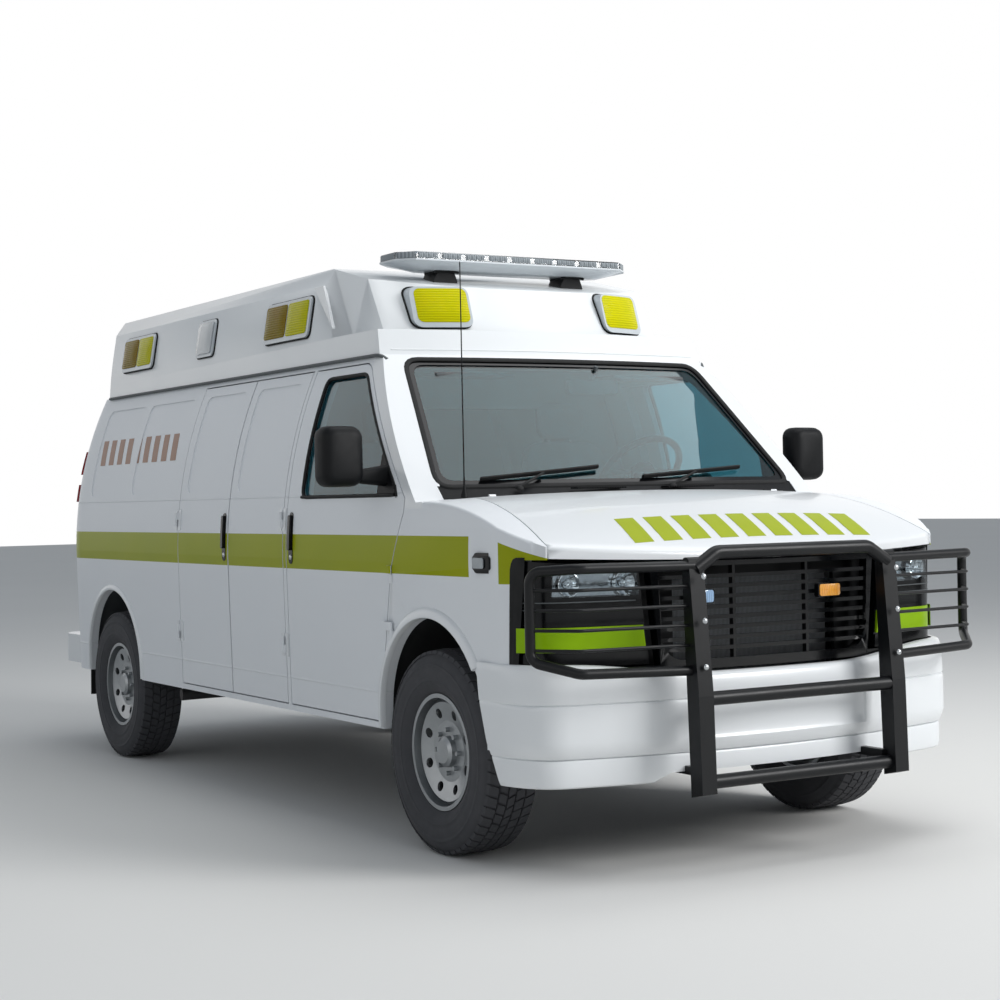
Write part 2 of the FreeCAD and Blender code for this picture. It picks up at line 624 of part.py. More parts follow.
def roof_cap():
    """Raised roof: sides leaning in, a chamfered shoulder, a raked front and stepped front corners."""
    return cap_volume(0.0).cut(cap_volume(CAP_WALL))


def on_cap(solid):
    """The part of a solid that stands proud of the roof cap."""
    return solid.cut(cap_volume(0.0))


SIDE_LAMPS = [  # first station, last station
    (1380.0, 1835.0), (2440.0, 2700.0), (3290.0, 3745.0),
]
SIDE_LAMP_Z = (CAP_SKIRT_TOP_Z + 23.0, CAP_SHOULDER[1] - 40.0)
SIDE_LAMP_PROUD = 34.0
FRONT_LAMP_X = (335.0, 590.0)
FRONT_LAMP_Z = (CAP_SKIRT_TOP_Z + 20.0, CAP_SHOULDER[1] - 47.0)


def roof_lamps():
    """Flush-edged warning lamps: three on each side of the cap and two on its raked front."""
    z0, z1 = SIDE_LAMP_Z
    pieces = []
    for y0, y1 in SIDE_LAMPS:
        outline = rounded(y0, y1, z0, z1, 28.0)
        lamp = prism("YZ", outline, 700.0, 900.0).common(lamp_skin(SIDE_LAMP_PROUD))
        pieces.append(on_cap(lamp))
    x0, x1 = FRONT_LAMP_X
    z0, z1 = FRONT_LAMP_Z
    front = prism("XZ", rounded(x0, x1, z0, z1, 36.0), 300.0, 1000.0)
    pieces.append(on_cap(front.common(raked_front(30.0))))
    solid = Part.makeCompound(pieces)
    return both_sides(solid)


def lamp_skin(proud):
    """A slab side standing `proud` of the cap's side wall."""
    sw, sz = CAP_SHOULDER
    return prism("XZ", [(0.0, CAP_SKIRT_TOP_Z), (CAP_HALF_W - 14.0 + proud, CAP_SKIRT_TOP_Z), (sw + proud, sz),
                        (0.0, sz)], 0.0, 5000.0)


BAR_HALF_W = 602.0
BAR_Y = 943.0
BAR_HALF_D = 140.0
BAR_Z = (CAP_TOP_Z - 49.0, CAP_TOP_Z + 21.0)
BAR_CHAMFER = 70.0
BAR_FOOT_X = 330.0


def light_bar():
    """Long warning light bar with chamfered ends and a tapered underside, on two feet on the cap's slope."""
    z0, z1 = BAR_Z
    w, d, c = BAR_HALF_W, BAR_HALF_D, BAR_CHAMFER
    plan = [(-w, -d + c), (-w + c, -d), (w - c, -d), (w, -d + c), (w, d - c), (w - c, d), (-w + c, d), (-w, d - c)]
    body = prism("XY", [(x, BAR_Y + y) for x, y in plan], z0, z1)
    along = prism("XZ", [(-w, z0 + 34.0), (-w + 110.0, z0), (w - 110.0, z0), (w, z0 + 34.0), (w, z1), (-w, z1)],
                  0.0, 2000.0)
    across = prism("YZ", [(BAR_Y - d, z0 + 34.0), (BAR_Y - d + 60.0, z0), (BAR_Y + d - 60.0, z0),
                          (BAR_Y + d, z0 + 34.0), (BAR_Y + d, z1), (BAR_Y - d, z1)], -w, w)
    pieces = [body.common(along).common(across)]
    for x in (-BAR_FOOT_X, BAR_FOOT_X):
        foot = prism("XZ", [(x - 70.0, z0 - 146.0), (x + 70.0, z0 - 146.0), (x + 40.0, z0), (x - 40.0, z0)],
                     BAR_Y - 40.0, BAR_Y + 80.0)
        pieces.append(on_cap(foot))
    return fuse(pieces)


# ---- glass, doors and hood ----------------------------------------------------------------------
SCREEN_GLASS_LOW_Z = 1393.0


def windscreen():
    glass = layer(GLASS_SET, GLASS_SET + GLASS_T, screen_opening())
    return glass.common(box(-1000.0, 1000.0, -300.0, 760.0, SCREEN_GLASS_LOW_Z, GUTTER_Z))


COWL_REAR_Y = FIREWALL_Y + FIREWALL_T
COWL = [(785.0, -62.0), ((0.0, -151.0), (-785.0, -62.0)), (-COWL_HALF_W, -62.0), (-COWL_HALF_W, COWL_REAR_Y),
        (COWL_HALF_W, COWL_REAR_Y), (COWL_HALF_W, -62.0)]
HOOD_HINGE_Y = -64.0
HOOD_HINGE_Z = 1352.0
HOOD_HINGE_X = (640.0, 677.7, 678.0, 708.0)     # body's barrel, then the hood's
HOOD_POCKET = (672.0, 715.0, -115.0, -50.0, 1300.0, 1420.0)


def cowl_panel():
    """Dark panel between hood and screen, down to the firewall's top, with a pocket for each hood hinge."""
    block = prism("XY", COWL, COWL_SPLIT_Z, SCREEN_GLASS_LOW_Z)
    solid = block.common(behind_screen(3.0)).fuse(block.common(under_hood(3.0)))
    solid = solid.cut(box(*HOOD_POCKET)).cut(mirrored(box(*HOOD_POCKET)))
    solid = max(solid.Solids, key=lambda part: part.Volume)
    start, end = HOOD_HINGE_X[:2]
    pin = rod(V(start, HOOD_HINGE_Y, HOOD_HINGE_Z), V(end, HOOD_HINGE_Y, HOOD_HINGE_Z), HINGE_R)
    return fuse([solid, pin, mirrored(pin)])


def front_door(side):
    panel = layer(0.0, WALL, side_prism(FRONT_DOOR, -SEAM / 2.0, side))
    panel = panel.cut(side_prism(FRONT_WINDOW, 0.0, side))
    return fuse([panel] + [on_side(front_hinge_door(z), side) for z in DOOR_HINGE_LEVELS])


def front_glass(side):
    return layer(GLASS_SET, GLASS_SET + GLASS_T, side_prism(FRONT_WINDOW, 0.0, side))


def load_door(outline, hinge_y, way):
    """One of the two load doors on the right wall; `way` points from its hinge line to the door.

    Behind the outer lip its meeting edge is rebated, because the door's upper part leans inward and
    swings past the other door's edge.
    """
    opening = side_prism(outline, -SEAM / 2.0, -1)
    meeting = LOAD_SEAM_Y - way * (MEETING + SEAM / 2.0)
    near, far = sorted((meeting - way * REBATE, meeting + way * 40.0))
    panel = layer(0.0, LIP_T, opening)
    inner = layer(LIP_T, WALL, opening.cut(box(-1200.0, -600.0, near, far, LOW_Z, HIGH_Z)))
    panel = cut_all(panel, pressings(-1))
    return fuse([panel, inner] + [load_hinge(hinge_y, above(z), way) for z in HINGE_LEVELS])


def rear_door(side):
    panel = layer(0.0, WALL, rear_prism(REAR_DOOR, -SEAM / 2.0, side))
    panel = panel.cut(rear_prism(REAR_WINDOW, 0.0, side))
    return fuse([panel] + [on_side(rear_hinge(above(z), -1.0), side) for z in HINGE_LEVELS])


def rear_glass(side):
    return layer(GLASS_SET, GLASS_SET + GLASS_T, rear_prism(REAR_WINDOW, 0.0, side))


def hood():
    """Hood panel with two arms that run back to its hinge barrels."""
    start, end = HOOD_HINGE_X[2:]
    y, z = HOOD_HINGE_Y, HOOD_HINGE_Z
    barrel = rod(V(start, y, z), V(end, y, z), HINGE_R)
    arm = box(start, end, y - 42.0, y, z - 14.0, z - 2.0)
    pieces = [layer(0.0, WALL, hood_prism(-SEAM / 2.0)), barrel, arm, mirrored(barrel), mirrored(arm)]
    return fuse(pieces)


MIRROR = [(1078.0, 240.0), (1256.0, 262.0), (1256.0, 318.0), ((1240.0, 336.0), (1215.0, 340.0)), (1100.0, 336.0),
          ((1086.0, 333.0), (1078.0, 320.0))]
MIRROR_Z = (1398.0, 1636.0)
MIRROR_ARM = [(940.0, 1398.0), (1000.0, 1400.0), (1110.0, 1408.0), (1124.0, 1430.0), (1124.0, 1472.0),
              (1000.0, 1484.0), (940.0, 1484.0)]
MIRROR_ARM_Y = (262.0, 318.0)
SAIL_REAR_Y = 345.0         # the blank panel in the window's front corner ends here


def mirror(side):
    """Upright mirror head on an arm that seats on a blank panel in the window's front corner."""
    head = prism("XY", MIRROR, *MIRROR_Z)
    arm = prism("XZ", MIRROR_ARM, *MIRROR_ARM_Y).cut(body_volume(0.0))
    corner = side_prism(FRONT_WINDOW, -FIT).common(box(600.0, 1200.0, 0.0, SAIL_REAR_Y, LOW_Z, HIGH_Z))
    sail = layer(0.0, GLASS_SET - FIT, corner)
    return on_side(fuse([head, arm, sail]), side)


# ---- nose ---------------------------------------------------------------------------------------
GRILLE_HALF_W = 524.0
GRILLE_LOW_Z = 716.0
GRILLE_TOP_Z = 1118.0
GRILLE_FRAME = 34.0
GRILLE_BARS = 8
GRILLE_BAR_H = 14.0
GRILLE_SET = 6.0
PANEL_SET = 90.0            # front face of the radiator panel, inward from the nose


def grille():
    """Black grille: a frame, curved bars that follow the nose and the apron under the headlamps."""
    w, z0, z1 = GRILLE_HALF_W, GRILLE_LOW_Z, GRILLE_TOP_Z
    outer = [(-w + 40.0, z0), (w - 40.0, z0), (w, z1), (-w, z1)]
    f = GRILLE_FRAME
    inner = [(-w + 40.0 + f + 60.0, z0 + f), (w - 40.0 - f - 60.0, z0 + f),
             ((w - f - 34.0, z0 + f + 30.0), (w - f - 12.0, z0 + f + 120.0)), (w - f, z1 - f),
             (-w + f, z1 - f), (-w + f + 12.0, z0 + f + 120.0),
             ((-w + f + 34.0, z0 + f + 30.0), (-w + 40.0 + f + 60.0, z0 + f))]
    depth = nose_band(GRILLE_SET, GRILLE_SET + 40.0, z0, z1)
    frame = depth.common(prism("XZ", outer, -1200.0, -600.0)).cut(prism("XZ", inner, -1200.0, -600.0))
    pieces = [frame]
    pitch = (z1 - z0 - 2.0 * f) / (GRILLE_BARS + 1)
    slat = nose_band(GRILLE_SET + 8.0, GRILLE_SET + 30.0, z0, z1)
    for i in range(GRILLE_BARS):
        z = z0 + f + pitch * (i + 1)
        pieces.append(slat.common(box(-w + 30.0, w - 30.0, -1200.0, -600.0, z - GRILLE_BAR_H / 2.0,
                                      z + GRILLE_BAR_H / 2.0)).common(prism("XZ", outer, -1200.0, -600.0)))
    for x in (-170.0, 170.0):
        pieces.append(slat.common(box(x - 6.0, x + 6.0, -1200.0, -600.0, z0 + 10.0, z1 - 10.0)))
    apron = nose_band(GRILLE_SET, PANEL_SET, z0, LAMP_LOW_Z - 4.0)
    pieces.append(apron.common(box(-1100.0, 1100.0, -1200.0, LAMP_SIDE_Y[1] - 4.0, 0.0, 1000.0)))
    return fuse(pieces)


def nose_band(outer, inner, z0, z1):
    return prism("XY", nose_outline(-outer), z0, z1).cut(prism("XY", nose_outline(-inner), z0, z1))


def headlamps():
    """Wrap-round headlamps: clear lens over a dark housing."""
    lens = nose_band(4.0, PANEL_SET, LAMP_LOW_Z, LAMP_TOP_Z).common(lamp_prism(-2.0))
    return both_sides(lens.common(body_volume(4.0)))


def radiator_panel():
    """Upright panel across the rails that carries grille and headlamps, with the radiator's opening."""
    panel = nose_band(PANEL_SET, PANEL_SET + 20.0, FLOOR_Z - FLOOR_T, 1105.0)
    panel = panel.common(box(-850.0, 850.0, -1200.0, -600.0, 0.0, 1200.0))
    return panel.cut(box(-380.0, 380.0, -1200.0, -600.0, 690.0, 1050.0))


PLATE_HALF_X = 89.0          # four holes for a number plate
PLATE_HALF_Z = 60.5
PLATE_Z = 519.0
PLATE_HOLE_R = 3.5


def front_bumper():
    """Deep white bumper wrapping to the front arches, with a lip below and two mounts on the rails."""
    outer = prism("XY", nose_outline(BUMPER_PROUD), BUMPER_LIP_Z, BUMPER_TOP_Z)
    lip = prism("XY", nose_outline(BUMPER_PROUD - 14.0), BUMPER_LOW_Z, BUMPER_LIP_Z)
    hollow = prism("XY", nose_outline(6.0), BUMPER_LOW_Z - 1.0, BUMPER_TOP_Z + 1.0)
    solid = outer.fuse(lip).cut(hollow).common(prism("YZ", BUMPER_SIDE, -1300.0, 1300.0))
    under = prism("XZ", [(-470.0, 0.0), (-430.0, BUMPER_LOW_Z + 60.0), (430.0, BUMPER_LOW_Z + 60.0), (470.0, 0.0)],
                  -1200.0, -600.0)
    solid = solid.cut(under)
    for x in (-PLATE_HALF_X, PLATE_HALF_X):
        for z in (PLATE_Z - PLATE_HALF_Z, PLATE_Z + PLATE_HALF_Z):
            solid = solid.cut(Part.makeCylinder(PLATE_HOLE_R, 200.0, V(x, -1050.0, z), V(0, 1, 0)))
    mount = box(RAIL_X - 30.0, RAIL_X + 30.0, -920.0, RAIL_FRONT_Y, 460.0, 590.0)
    return fuse([solid, mount, mirrored(mount)])


GUARD_UPRIGHT_X = 446.0
GUARD_TUBE_R = 25.0
GUARD_WING_R = 18.0
GUARD_ROD_R = 6.0
GUARD_Y = -1050.0
GUARD_ARM_X = (395.0, 424.0)


def brush_guard():
    """Black tubular guard: two upright plates, three cross tubes and a wing with thin rods on each side."""
    y = GUARD_Y
    pieces = []
    for s in (-1, 1):
        plate = prism("YZ", [(NOSE_END_Y, 300.0), (y + 30.0, 285.0), (y + 60.0, 1095.0),
                             ((y + 44.0, 1122.0), (y + 20.0, 1112.0)), (NOSE_END_Y + 10.0, 640.0)],
                      s * GUARD_UPRIGHT_X - 32.0, s * GUARD_UPRIGHT_X + 32.0)
        pieces.append(plate)
        x0, x1 = sorted((s * GUARD_ARM_X[0], s * GUARD_ARM_X[1]))
        pieces.append(box(x0, x1, y + 20.0, RAIL_FRONT_Y + 70.0, 350.0, 380.0))
        pieces.append(box(x0, x1, RAIL_FRONT_Y + 30.0, RAIL_FRONT_Y + 70.0, 350.0, FLOOR_Z - FLOOR_T - RAIL_H))
    ux = GUARD_UPRIGHT_X
    top = [V(-ux, y + 30.0, 1080.0), V(-ux + 95.0, y + 30.0, 1137.0), V(ux - 95.0, y + 30.0, 1137.0),
           V(ux, y + 30.0, 1080.0)]
    pieces.append(pipe(top, GUARD_TUBE_R, 60.0))
    pieces.append(rod(V(-ux, y, 628.0), V(ux, y, 628.0), GUARD_TUBE_R))
    pieces.append(rod(V(-ux, y + 5.0, 336.0), V(ux, y + 5.0, 336.0), GUARD_TUBE_R))
    wing_top, wing_low = 1092.0, 748.0
    side_x, side_y = 1012.0, -835.0
    for s in (-1, 1):
        path = [V(s * ux, y + 30.0, wing_top), V(s * 900.0, y + 75.0, wing_top + 4.0), V(s * side_x, side_y, wing_top - 6.0),
                V(s * side_x, side_y, wing_low + 30.0), V(s * 900.0, y + 75.0, wing_low - 10.0),
                V(s * ux, y + 20.0, wing_low - 20.0)]
        pieces.append(pipe(path, GUARD_WING_R, 45.0))
        for i in range(4):
            z = wing_top - (i + 1) * (wing_top - wing_low) / 5.0
            pieces.append(pipe([V(s * ux, y + 28.0, z), V(s * 900.0, y + 75.0, z), V(s * side_x, side_y, z)],
                               GUARD_ROD_R, 30.0))
    return fuse(pieces)


# ---- running gear -------------------------------------------------------------------------------
HITCH_HALF = 36.0
HITCH_BORE_HALF = 25.4       # two-inch square socket
HITCH_Z = 403.0
HITCH_END_Y = 4405.0


def frame():
    """Ladder frame: two rails, their cross members and the square tow socket at the rear."""
    low = FLOOR_Z - FLOOR_T - RAIL_H
    high = FLOOR_Z - FLOOR_T
    half = RAIL_W / 2.0
    rail = box(RAIL_X - half, RAIL_X + half, RAIL_FRONT_Y, RAIL_REAR_Y, low, high)
    pieces = [rail, mirrored(rail)]
    for y, z0, z1 in ((RAIL_FRONT_Y + 30.0, low, low + 60.0), (-260.0, low, low + 60.0), (700.0, high - 40.0, high),
                      (1700.0, high - 40.0, high), (2700.0, high - 40.0, high), (3960.0, low, low + 60.0),
                      (RAIL_REAR_Y - 40.0, low, low + 60.0)):
        pieces.append(box(-RAIL_X, RAIL_X, y - 30.0, y + 30.0, z0, z1))
    r, bore = HITCH_HALF, HITCH_BORE_HALF
    tube = box(-r, r, RAIL_REAR_Y - 60.0, HITCH_END_Y, HITCH_Z - r, HITCH_Z + r)
    tube = tube.fuse(box(-r, r, RAIL_REAR_Y - 70.0, RAIL_REAR_Y - 10.0, HITCH_Z, low + 30.0))
    socket = box(-bore, bore, RAIL_REAR_Y, HITCH_END_Y + 1.0, HITCH_Z - bore, HITCH_Z + bore)
    return fuse(pieces + [tube]).cut(socket)


ENGINE_Y = (-560.0, 30.0)


def engine():
    return box(-240.0, 240.0, ENGINE_Y[0], ENGINE_Y[1], FLOOR_Z - FLOOR_T - RAIL_H + 60.0, 1000.0)


def radiator():
    return box(-RAIL_X, RAIL_X, -720.0, -670.0, FLOOR_Z - FLOOR_T, 1080.0)


KINGPIN_X = 790.0
KNUCKLE_R = 26.0
KNUCKLE_H = 110.0
KNUCKLE_FIT = 0.3
ARM_T = 24.0


def knuckle(side):
    """Upright with its wheel spindle."""
    post = Part.makeCylinder(KNUCKLE_R, 2.0 * KNUCKLE_H, V(KINGPIN_X, FRONT_AXLE_Y, TYRE_R - KNUCKLE_H))
    spindle = Part.makeCylinder(SPINDLE_R, 905.0 - KINGPIN_X, V(KINGPIN_X, FRONT_AXLE_Y, TYRE_R), V(1, 0, 0))
    arm = box(KINGPIN_X - 12.0, KINGPIN_X + 12.0, FRONT_AXLE_Y, FRONT_AXLE_Y + 110.0, TYRE_R - 60.0, TYRE_R - 36.0)
    return on_side(fuse([post, spindle, arm]), side)


def front_suspension():
    """Cross member under the rails with an upper and a lower arm to each kingpin."""
    rail_low = FLOOR_Z - FLOOR_T - RAIL_H
    low = TYRE_R - KNUCKLE_H - KNUCKLE_FIT - ARM_T
    high = TYRE_R + KNUCKLE_H + KNUCKLE_FIT
    near, far = RAIL_X + RAIL_W / 2.0, RAIL_X + RAIL_W / 2.0 + 20.0
    y = FRONT_AXLE_Y
    member = box(-far, far, y - 70.0, y + 70.0, low, rail_low)
    pieces = [box(near, far, y - 60.0, y + 60.0, low, high + ARM_T)]
    for z in (low, high):
        pieces.append(prism("XY", [(near, y - 60.0), (near, y + 60.0), (KINGPIN_X + 20.0, y + 24.0),
                                   (KINGPIN_X + 20.0, y - 24.0)], z, z + ARM_T))
    one = fuse(pieces)
    return fuse([member, one, mirrored(one)])


def wheel(axle_y, side):
    """Pressed steel wheel: rim barrel, dished disc with round vents, hub and plain cap."""
    centre = TYRE_FACE_X - TYRE_W / 2.0
    out_x = centre + RIM_W / 2.0
    in_x = centre - RIM_W / 2.0
    bore = SPINDLE_R + RUNNING_FIT
    barrel = [(in_x, RIM_R), (out_x, RIM_R), (out_x, RIM_R - 16.0), (in_x, RIM_R - 16.0)]
    disc = [(out_x - 62.0, RIM_R - 8.0), (out_x - 52.0, RIM_R - 8.0), (out_x - 22.0, 188.0), (out_x - 40.0, 116.0),
            (out_x - 40.0, bore), (out_x - 100.0, bore), (out_x - 100.0, HUB_R), (out_x - 50.0, HUB_R),
            (out_x - 50.0, 116.0), (out_x - 32.0, 188.0)]
    cap = [(out_x - 50.0, 0.0), (out_x - 50.0, 62.0), (out_x - 20.0, 58.0), (out_x - 10.0, 44.0), (out_x - 10.0, 0.0)]
    solids = []
    for outline in (barrel, disc, cap):
        face = Part.Face(wire_of([V(u, 0, v) for u, v in outline]))
        solids.append(face.revolve(V(0, 0, 0), V(1, 0, 0), 360))
    solid = fuse(solids)
    cuts = []
    for i in range(VENT_COUNT):
        turn = 2.0 * math.pi * (i + 0.5) / VENT_COUNT
        at = V(out_x - 120.0, VENT_PITCH_R * math.cos(turn), VENT_PITCH_R * math.sin(turn))
        cuts.append(Part.makeCylinder(VENT_R, 140.0, at, V(1, 0, 0)))
    solid = cut_all(solid, cuts)
    studs = []
    for i in range(STUD_COUNT):
        turn = 2.0 * math.pi * i / STUD_COUNT
        at = V(out_x - 45.0, STUD_PITCH_R * math.cos(turn), STUD_PITCH_R * math.sin(turn))
        studs.append(Part.makeCylinder(STUD_R, 22.0, at, V(1, 0, 0)))
    solid = fuse([solid] + studs)
    solid.translate(V(0, axle_y, TYRE_R))
    return on_side(solid, side)


def tyre(axle_y, side):
    r, face_x, w = TYRE_R, TYRE_FACE_X, TYRE_W
    outline = [(face_x - w + 32.0, RIM_R), (face_x - 32.0, RIM_R), (face_x - 6.0, 262.0), (face_x, 300.0),
               (face_x - 8.0, 352.0), (face_x - 26.0, r - 8.0), (face_x - 44.0, r), (face_x - w + 44.0, r),
               (face_x - w + 26.0, r - 8.0), (face_x - w + 8.0, 352.0), (face_x - w, 300.0), (face_x - w + 6.0, 262.0)]
    face = Part.Face(wire_of([V(u, 0, v) for u, v in outline]))
    solid = face.revolve(V(0, 0, 0), V(1, 0, 0), 360)
    solid.translate(V(0, axle_y, TYRE_R))
    return on_side(solid, side)


AXLE_TUBE_R = 42.0
SPRING_T = 30.0
DIFF_R = 135.0


def rear_axle():
    """Live axle with its differential on two leaf springs that reach up to the rails."""
    centre = TYRE_FACE_X - TYRE_W / 2.0
    end = centre + RIM_W / 2.0 - 100.0 - 1.0
    pieces = [Part.makeCylinder(AXLE_TUBE_R, 2.0 * end, V(-end, REAR_AXLE_Y, TYRE_R), V(1, 0, 0)),
              Part.makeCylinder(SPINDLE_R, 2.0 * end + 80.0, V(-end - 40.0, REAR_AXLE_Y, TYRE_R), V(1, 0, 0)),
              Part.makeCylinder(DIFF_R, 120.0, V(-60.0, REAR_AXLE_Y, TYRE_R), V(1, 0, 0))]
    rail_low = FLOOR_Z - FLOOR_T - RAIL_H
    under = TYRE_R - AXLE_TUBE_R
    for s in (-1, 1):
        outline = [(REAR_AXLE_Y - 640.0, rail_low), ((REAR_AXLE_Y, under - SPRING_T), (REAR_AXLE_Y + 600.0, rail_low)),
                   (REAR_AXLE_Y + 560.0, rail_low), ((REAR_AXLE_Y, under), (REAR_AXLE_Y - 600.0, rail_low))]
        spring = prism("YZ", outline, s * RAIL_X - 28.0, s * RAIL_X + 28.0)
        pieces.append(spring)
        pieces.append(box(s * RAIL_X - 40.0, s * RAIL_X + 40.0, REAR_AXLE_Y - 50.0, REAR_AXLE_Y + 50.0,
                          under - SPRING_T + 2.0, under + 20.0))
    return fuse(pieces)


def driveshaft():
    """Propeller shaft from the engine's rear face to the differential."""
    return rod(V(0, ENGINE_Y[1], 545.0), V(0, REAR_AXLE_Y - DIFF_R + 1.0, TYRE_R + 10.0), 36.0).cut(rear_axle()).cut(engine())


def wheel_liners():
    """Dark liners inside the front arches."""
    liner = arch(FRONT_AXLE_Y, LINER_GAP + LINER_T, 448.0, 1100.0).cut(arch(FRONT_AXLE_Y, LINER_GAP, 456.0, 1100.0))
    liner = liner.common(body_volume(WALL)).common(box(0.0, 1100.0, -560.0, 500.0, SILL_Z + 5.0, 1200.0))
    return both_sides(liner.cut(front_suspension()))


# ---- rear, cab and small pieces -----------------------------------------------------------------
def rear_bumper():
    """White rear bumper wrapping the rounded tail."""
    w = 962.0
    outline = [(-w, 4060.0), (-w, 4250.0), ((-w + 45.0, 4375.0), (-w + 160.0, 4425.0)),
               ((0.0, TAIL_END_Y), (w - 160.0, 4425.0)), ((w - 45.0, 4375.0), (w, 4250.0)), (w, 4060.0)]
    solid = prism("XY", outline, 462.0, 618.0)
    return solid.cut(body_volume(0.0))


def tail_lamps():
    """Upright red lamps in two parts on each rear corner."""
    proud = body_volume(-14.0).cut(body_volume(0.0))
    pieces = []
    for z0, z1 in ((1372.0, 1468.0), (1525.0, 1654.0)):
        pieces.append(proud.common(box(745.0, 1100.0, 4090.0, TAIL_END_Y, z0, z1)))
    return both_sides(Part.makeCompound(pieces))


def fender_lamps():
    proud = body_volume(-16.0).cut(body_volume(0.0))
    return both_sides(proud.common(prism("YZ", rounded(-560.0, -445.0, 1086.0, 1136.0, 12.0), 800.0, 1200.0)))


def bulkhead():
    """Wall between cab and load body with a pass-through window."""
    wall = box(-1100.0, 1100.0, 1300.0, 1325.0, FLOOR_Z, GUTTER_Z).common(body_volume(PILLAR_IN))
    return wall.cut(prism("XZ", rounded(-430.0, 430.0, 1180.0, 1760.0, 60.0), 1200.0, 1400.0))


def dashboard():
    """Dashboard against the firewall, with the steering column."""
    outline = [(COWL_REAR_Y, 1000.0), (250.0, 980.0), (420.0, 1120.0), (430.0, 1290.0),
               ((400.0, 1372.0), (300.0, 1392.0)), (150.0, 1385.0), (COWL_REAR_Y, 1340.0)]
    axis = steering_axis()
    top = WHEEL_CENTRE - axis * 30.3
    return prism("YZ", outline, -860.0, 860.0).fuse(rod(top, top - axis * 150.0, COLUMN_R))


SEAT_X = 455.0


def seats():
    """Two plain front seats on pedestals."""
    one = fuse([box(SEAT_X - 190.0, SEAT_X + 190.0, 700.0, 1120.0, FLOOR_Z, 900.0),
                box(SEAT_X - 240.0, SEAT_X + 240.0, 640.0, 1180.0, 900.0, 1030.0),
                prism("YZ", [(1060.0, 1030.0), (1180.0, 1030.0), (1270.0, 1600.0), (1170.0, 1620.0)],
                      SEAT_X - 230.0, SEAT_X + 230.0),
                prism("YZ", [(1180.0, 1600.0), (1250.0, 1600.0), (1270.0, 1790.0), (1190.0, 1790.0)],
                      SEAT_X - 130.0, SEAT_X + 130.0)])
    return both_sides(one)


WHEEL_CENTRE = V(409.0, 505.0, 1445.0)
WHEEL_R = 190.0
WHEEL_GRIP_R = 15.0
WHEEL_TILT = 48.0
COLUMN_R = 24.0


def steering_axis():
    a = math.radians(WHEEL_TILT)
    return V(0.0, math.sin(a), math.cos(a))


def steering_wheel():
    """Rim, hub and three spokes."""
    axis = steering_axis()
    low = V(0.0, math.cos(math.radians(WHEEL_TILT)), -math.sin(math.radians(WHEEL_TILT)))
    pieces = [Part.makeTorus(WHEEL_R, WHEEL_GRIP_R, WHEEL_CENTRE, axis),
              Part.makeCylinder(60.0, 34.0, WHEEL_CENTRE - axis * 30.0, axis)]
    for across in (V(1, 0, 0), V(-1, 0, 0), low):
        pieces.append(rod(WHEEL_CENTRE - axis * 8.0, WHEEL_CENTRE + across * (WHEEL_R - 4.0), 12.0))
    return fuse(pieces)


def aerial():
    """Whip aerial on the right wing."""
    x, y, z = AERIAL
    base = Part.makeCylinder(16.0, 50.0, V(x, y, z - 20.0)).cut(body_volume(0.0))
    return fuse([base, Part.makeCylinder(4.0, AERIAL_TOP_Z - z, V(x, y, z))])


AERIAL = (-815.0, -62.0, 1346.0)
AERIAL_TOP_Z = 2252.0


def build():
    """Every node's shape by name."""
    nodes = {
        "body_side_right": body_side(-1), "body_side_left": body_side(1), "cab_frame": cab_frame(),
        "fenders": fenders(), "floor_pan": floor_pan(), "roof_cap": roof_cap(), "roof_lamps": roof_lamps(),
        "light_bar": light_bar(), "windscreen": windscreen(), "cowl_panel": cowl_panel(), "bulkhead": bulkhead(),
        "dashboard": dashboard(), "seats": seats(), "grille": grille(), "headlamps": headlamps(),
        "radiator_panel": radiator_panel(), "front_bumper": front_bumper(), "brush_guard": brush_guard(),
        "chassis_frame": frame(), "engine": engine(), "radiator": radiator(),
        "front_suspension": front_suspension(), "rear_axle": rear_axle(), "driveshaft": driveshaft(),
        "wheel_liners": wheel_liners(), "rear_bumper": rear_bumper(), "tail_lamps": tail_lamps(),
        "fender_lamps": fender_lamps(), "aerial": aerial(), "hood": hood(),
        "load_door_front": load_door(LOAD_DOOR_FRONT, POST_REAR_Y, 1.0),
        "load_door_rear": load_door(LOAD_DOOR_REAR, LOAD_REAR_Y, -1.0), "steering_wheel": steering_wheel(),
    }
    for name, side in (("right", -1), ("left", 1)):
        nodes["front_door_" + name] = front_door(side)
        nodes["front_glass_" + name] = front_glass(side)
        nodes["mirror_" + name] = mirror(side)
        nodes["rear_door_" + name] = rear_door(side)
        nodes["rear_glass_" + name] = rear_glass(side)
        nodes["knuckle_" + name] = knuckle(side)
        for end, axle_y in (("front", FRONT_AXLE_Y), ("rear", REAR_AXLE_Y)):
            nodes["wheel_%s_%s" % (end, name)] = wheel(axle_y, side)
            nodes["tyre_%s_%s" % (end, name)] = tyre(axle_y, side)
    return nodes


def main():
    os.makedirs("parts", exist_ok=True)
    for name, shape in build().items():
        moved = shape.copy()
        moved.translate(V(0, SHIFT_Y, 0))
        moved.exportStep(os.path.join("parts", name + ".step"))


if __name__ == "__main__":
    main()
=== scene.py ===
"""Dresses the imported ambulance: paint and stripes, glass, lamps, tyres, trim, seats and studio."""

from __future__ import annotations

import logging
import math
from dataclasses import dataclass
from enum import Enum
from typing import Callable, Optional, Sequence

import bmesh
import bpy
from mathutils import Matrix, Vector
from mathutils.bvhtree import BVHTree

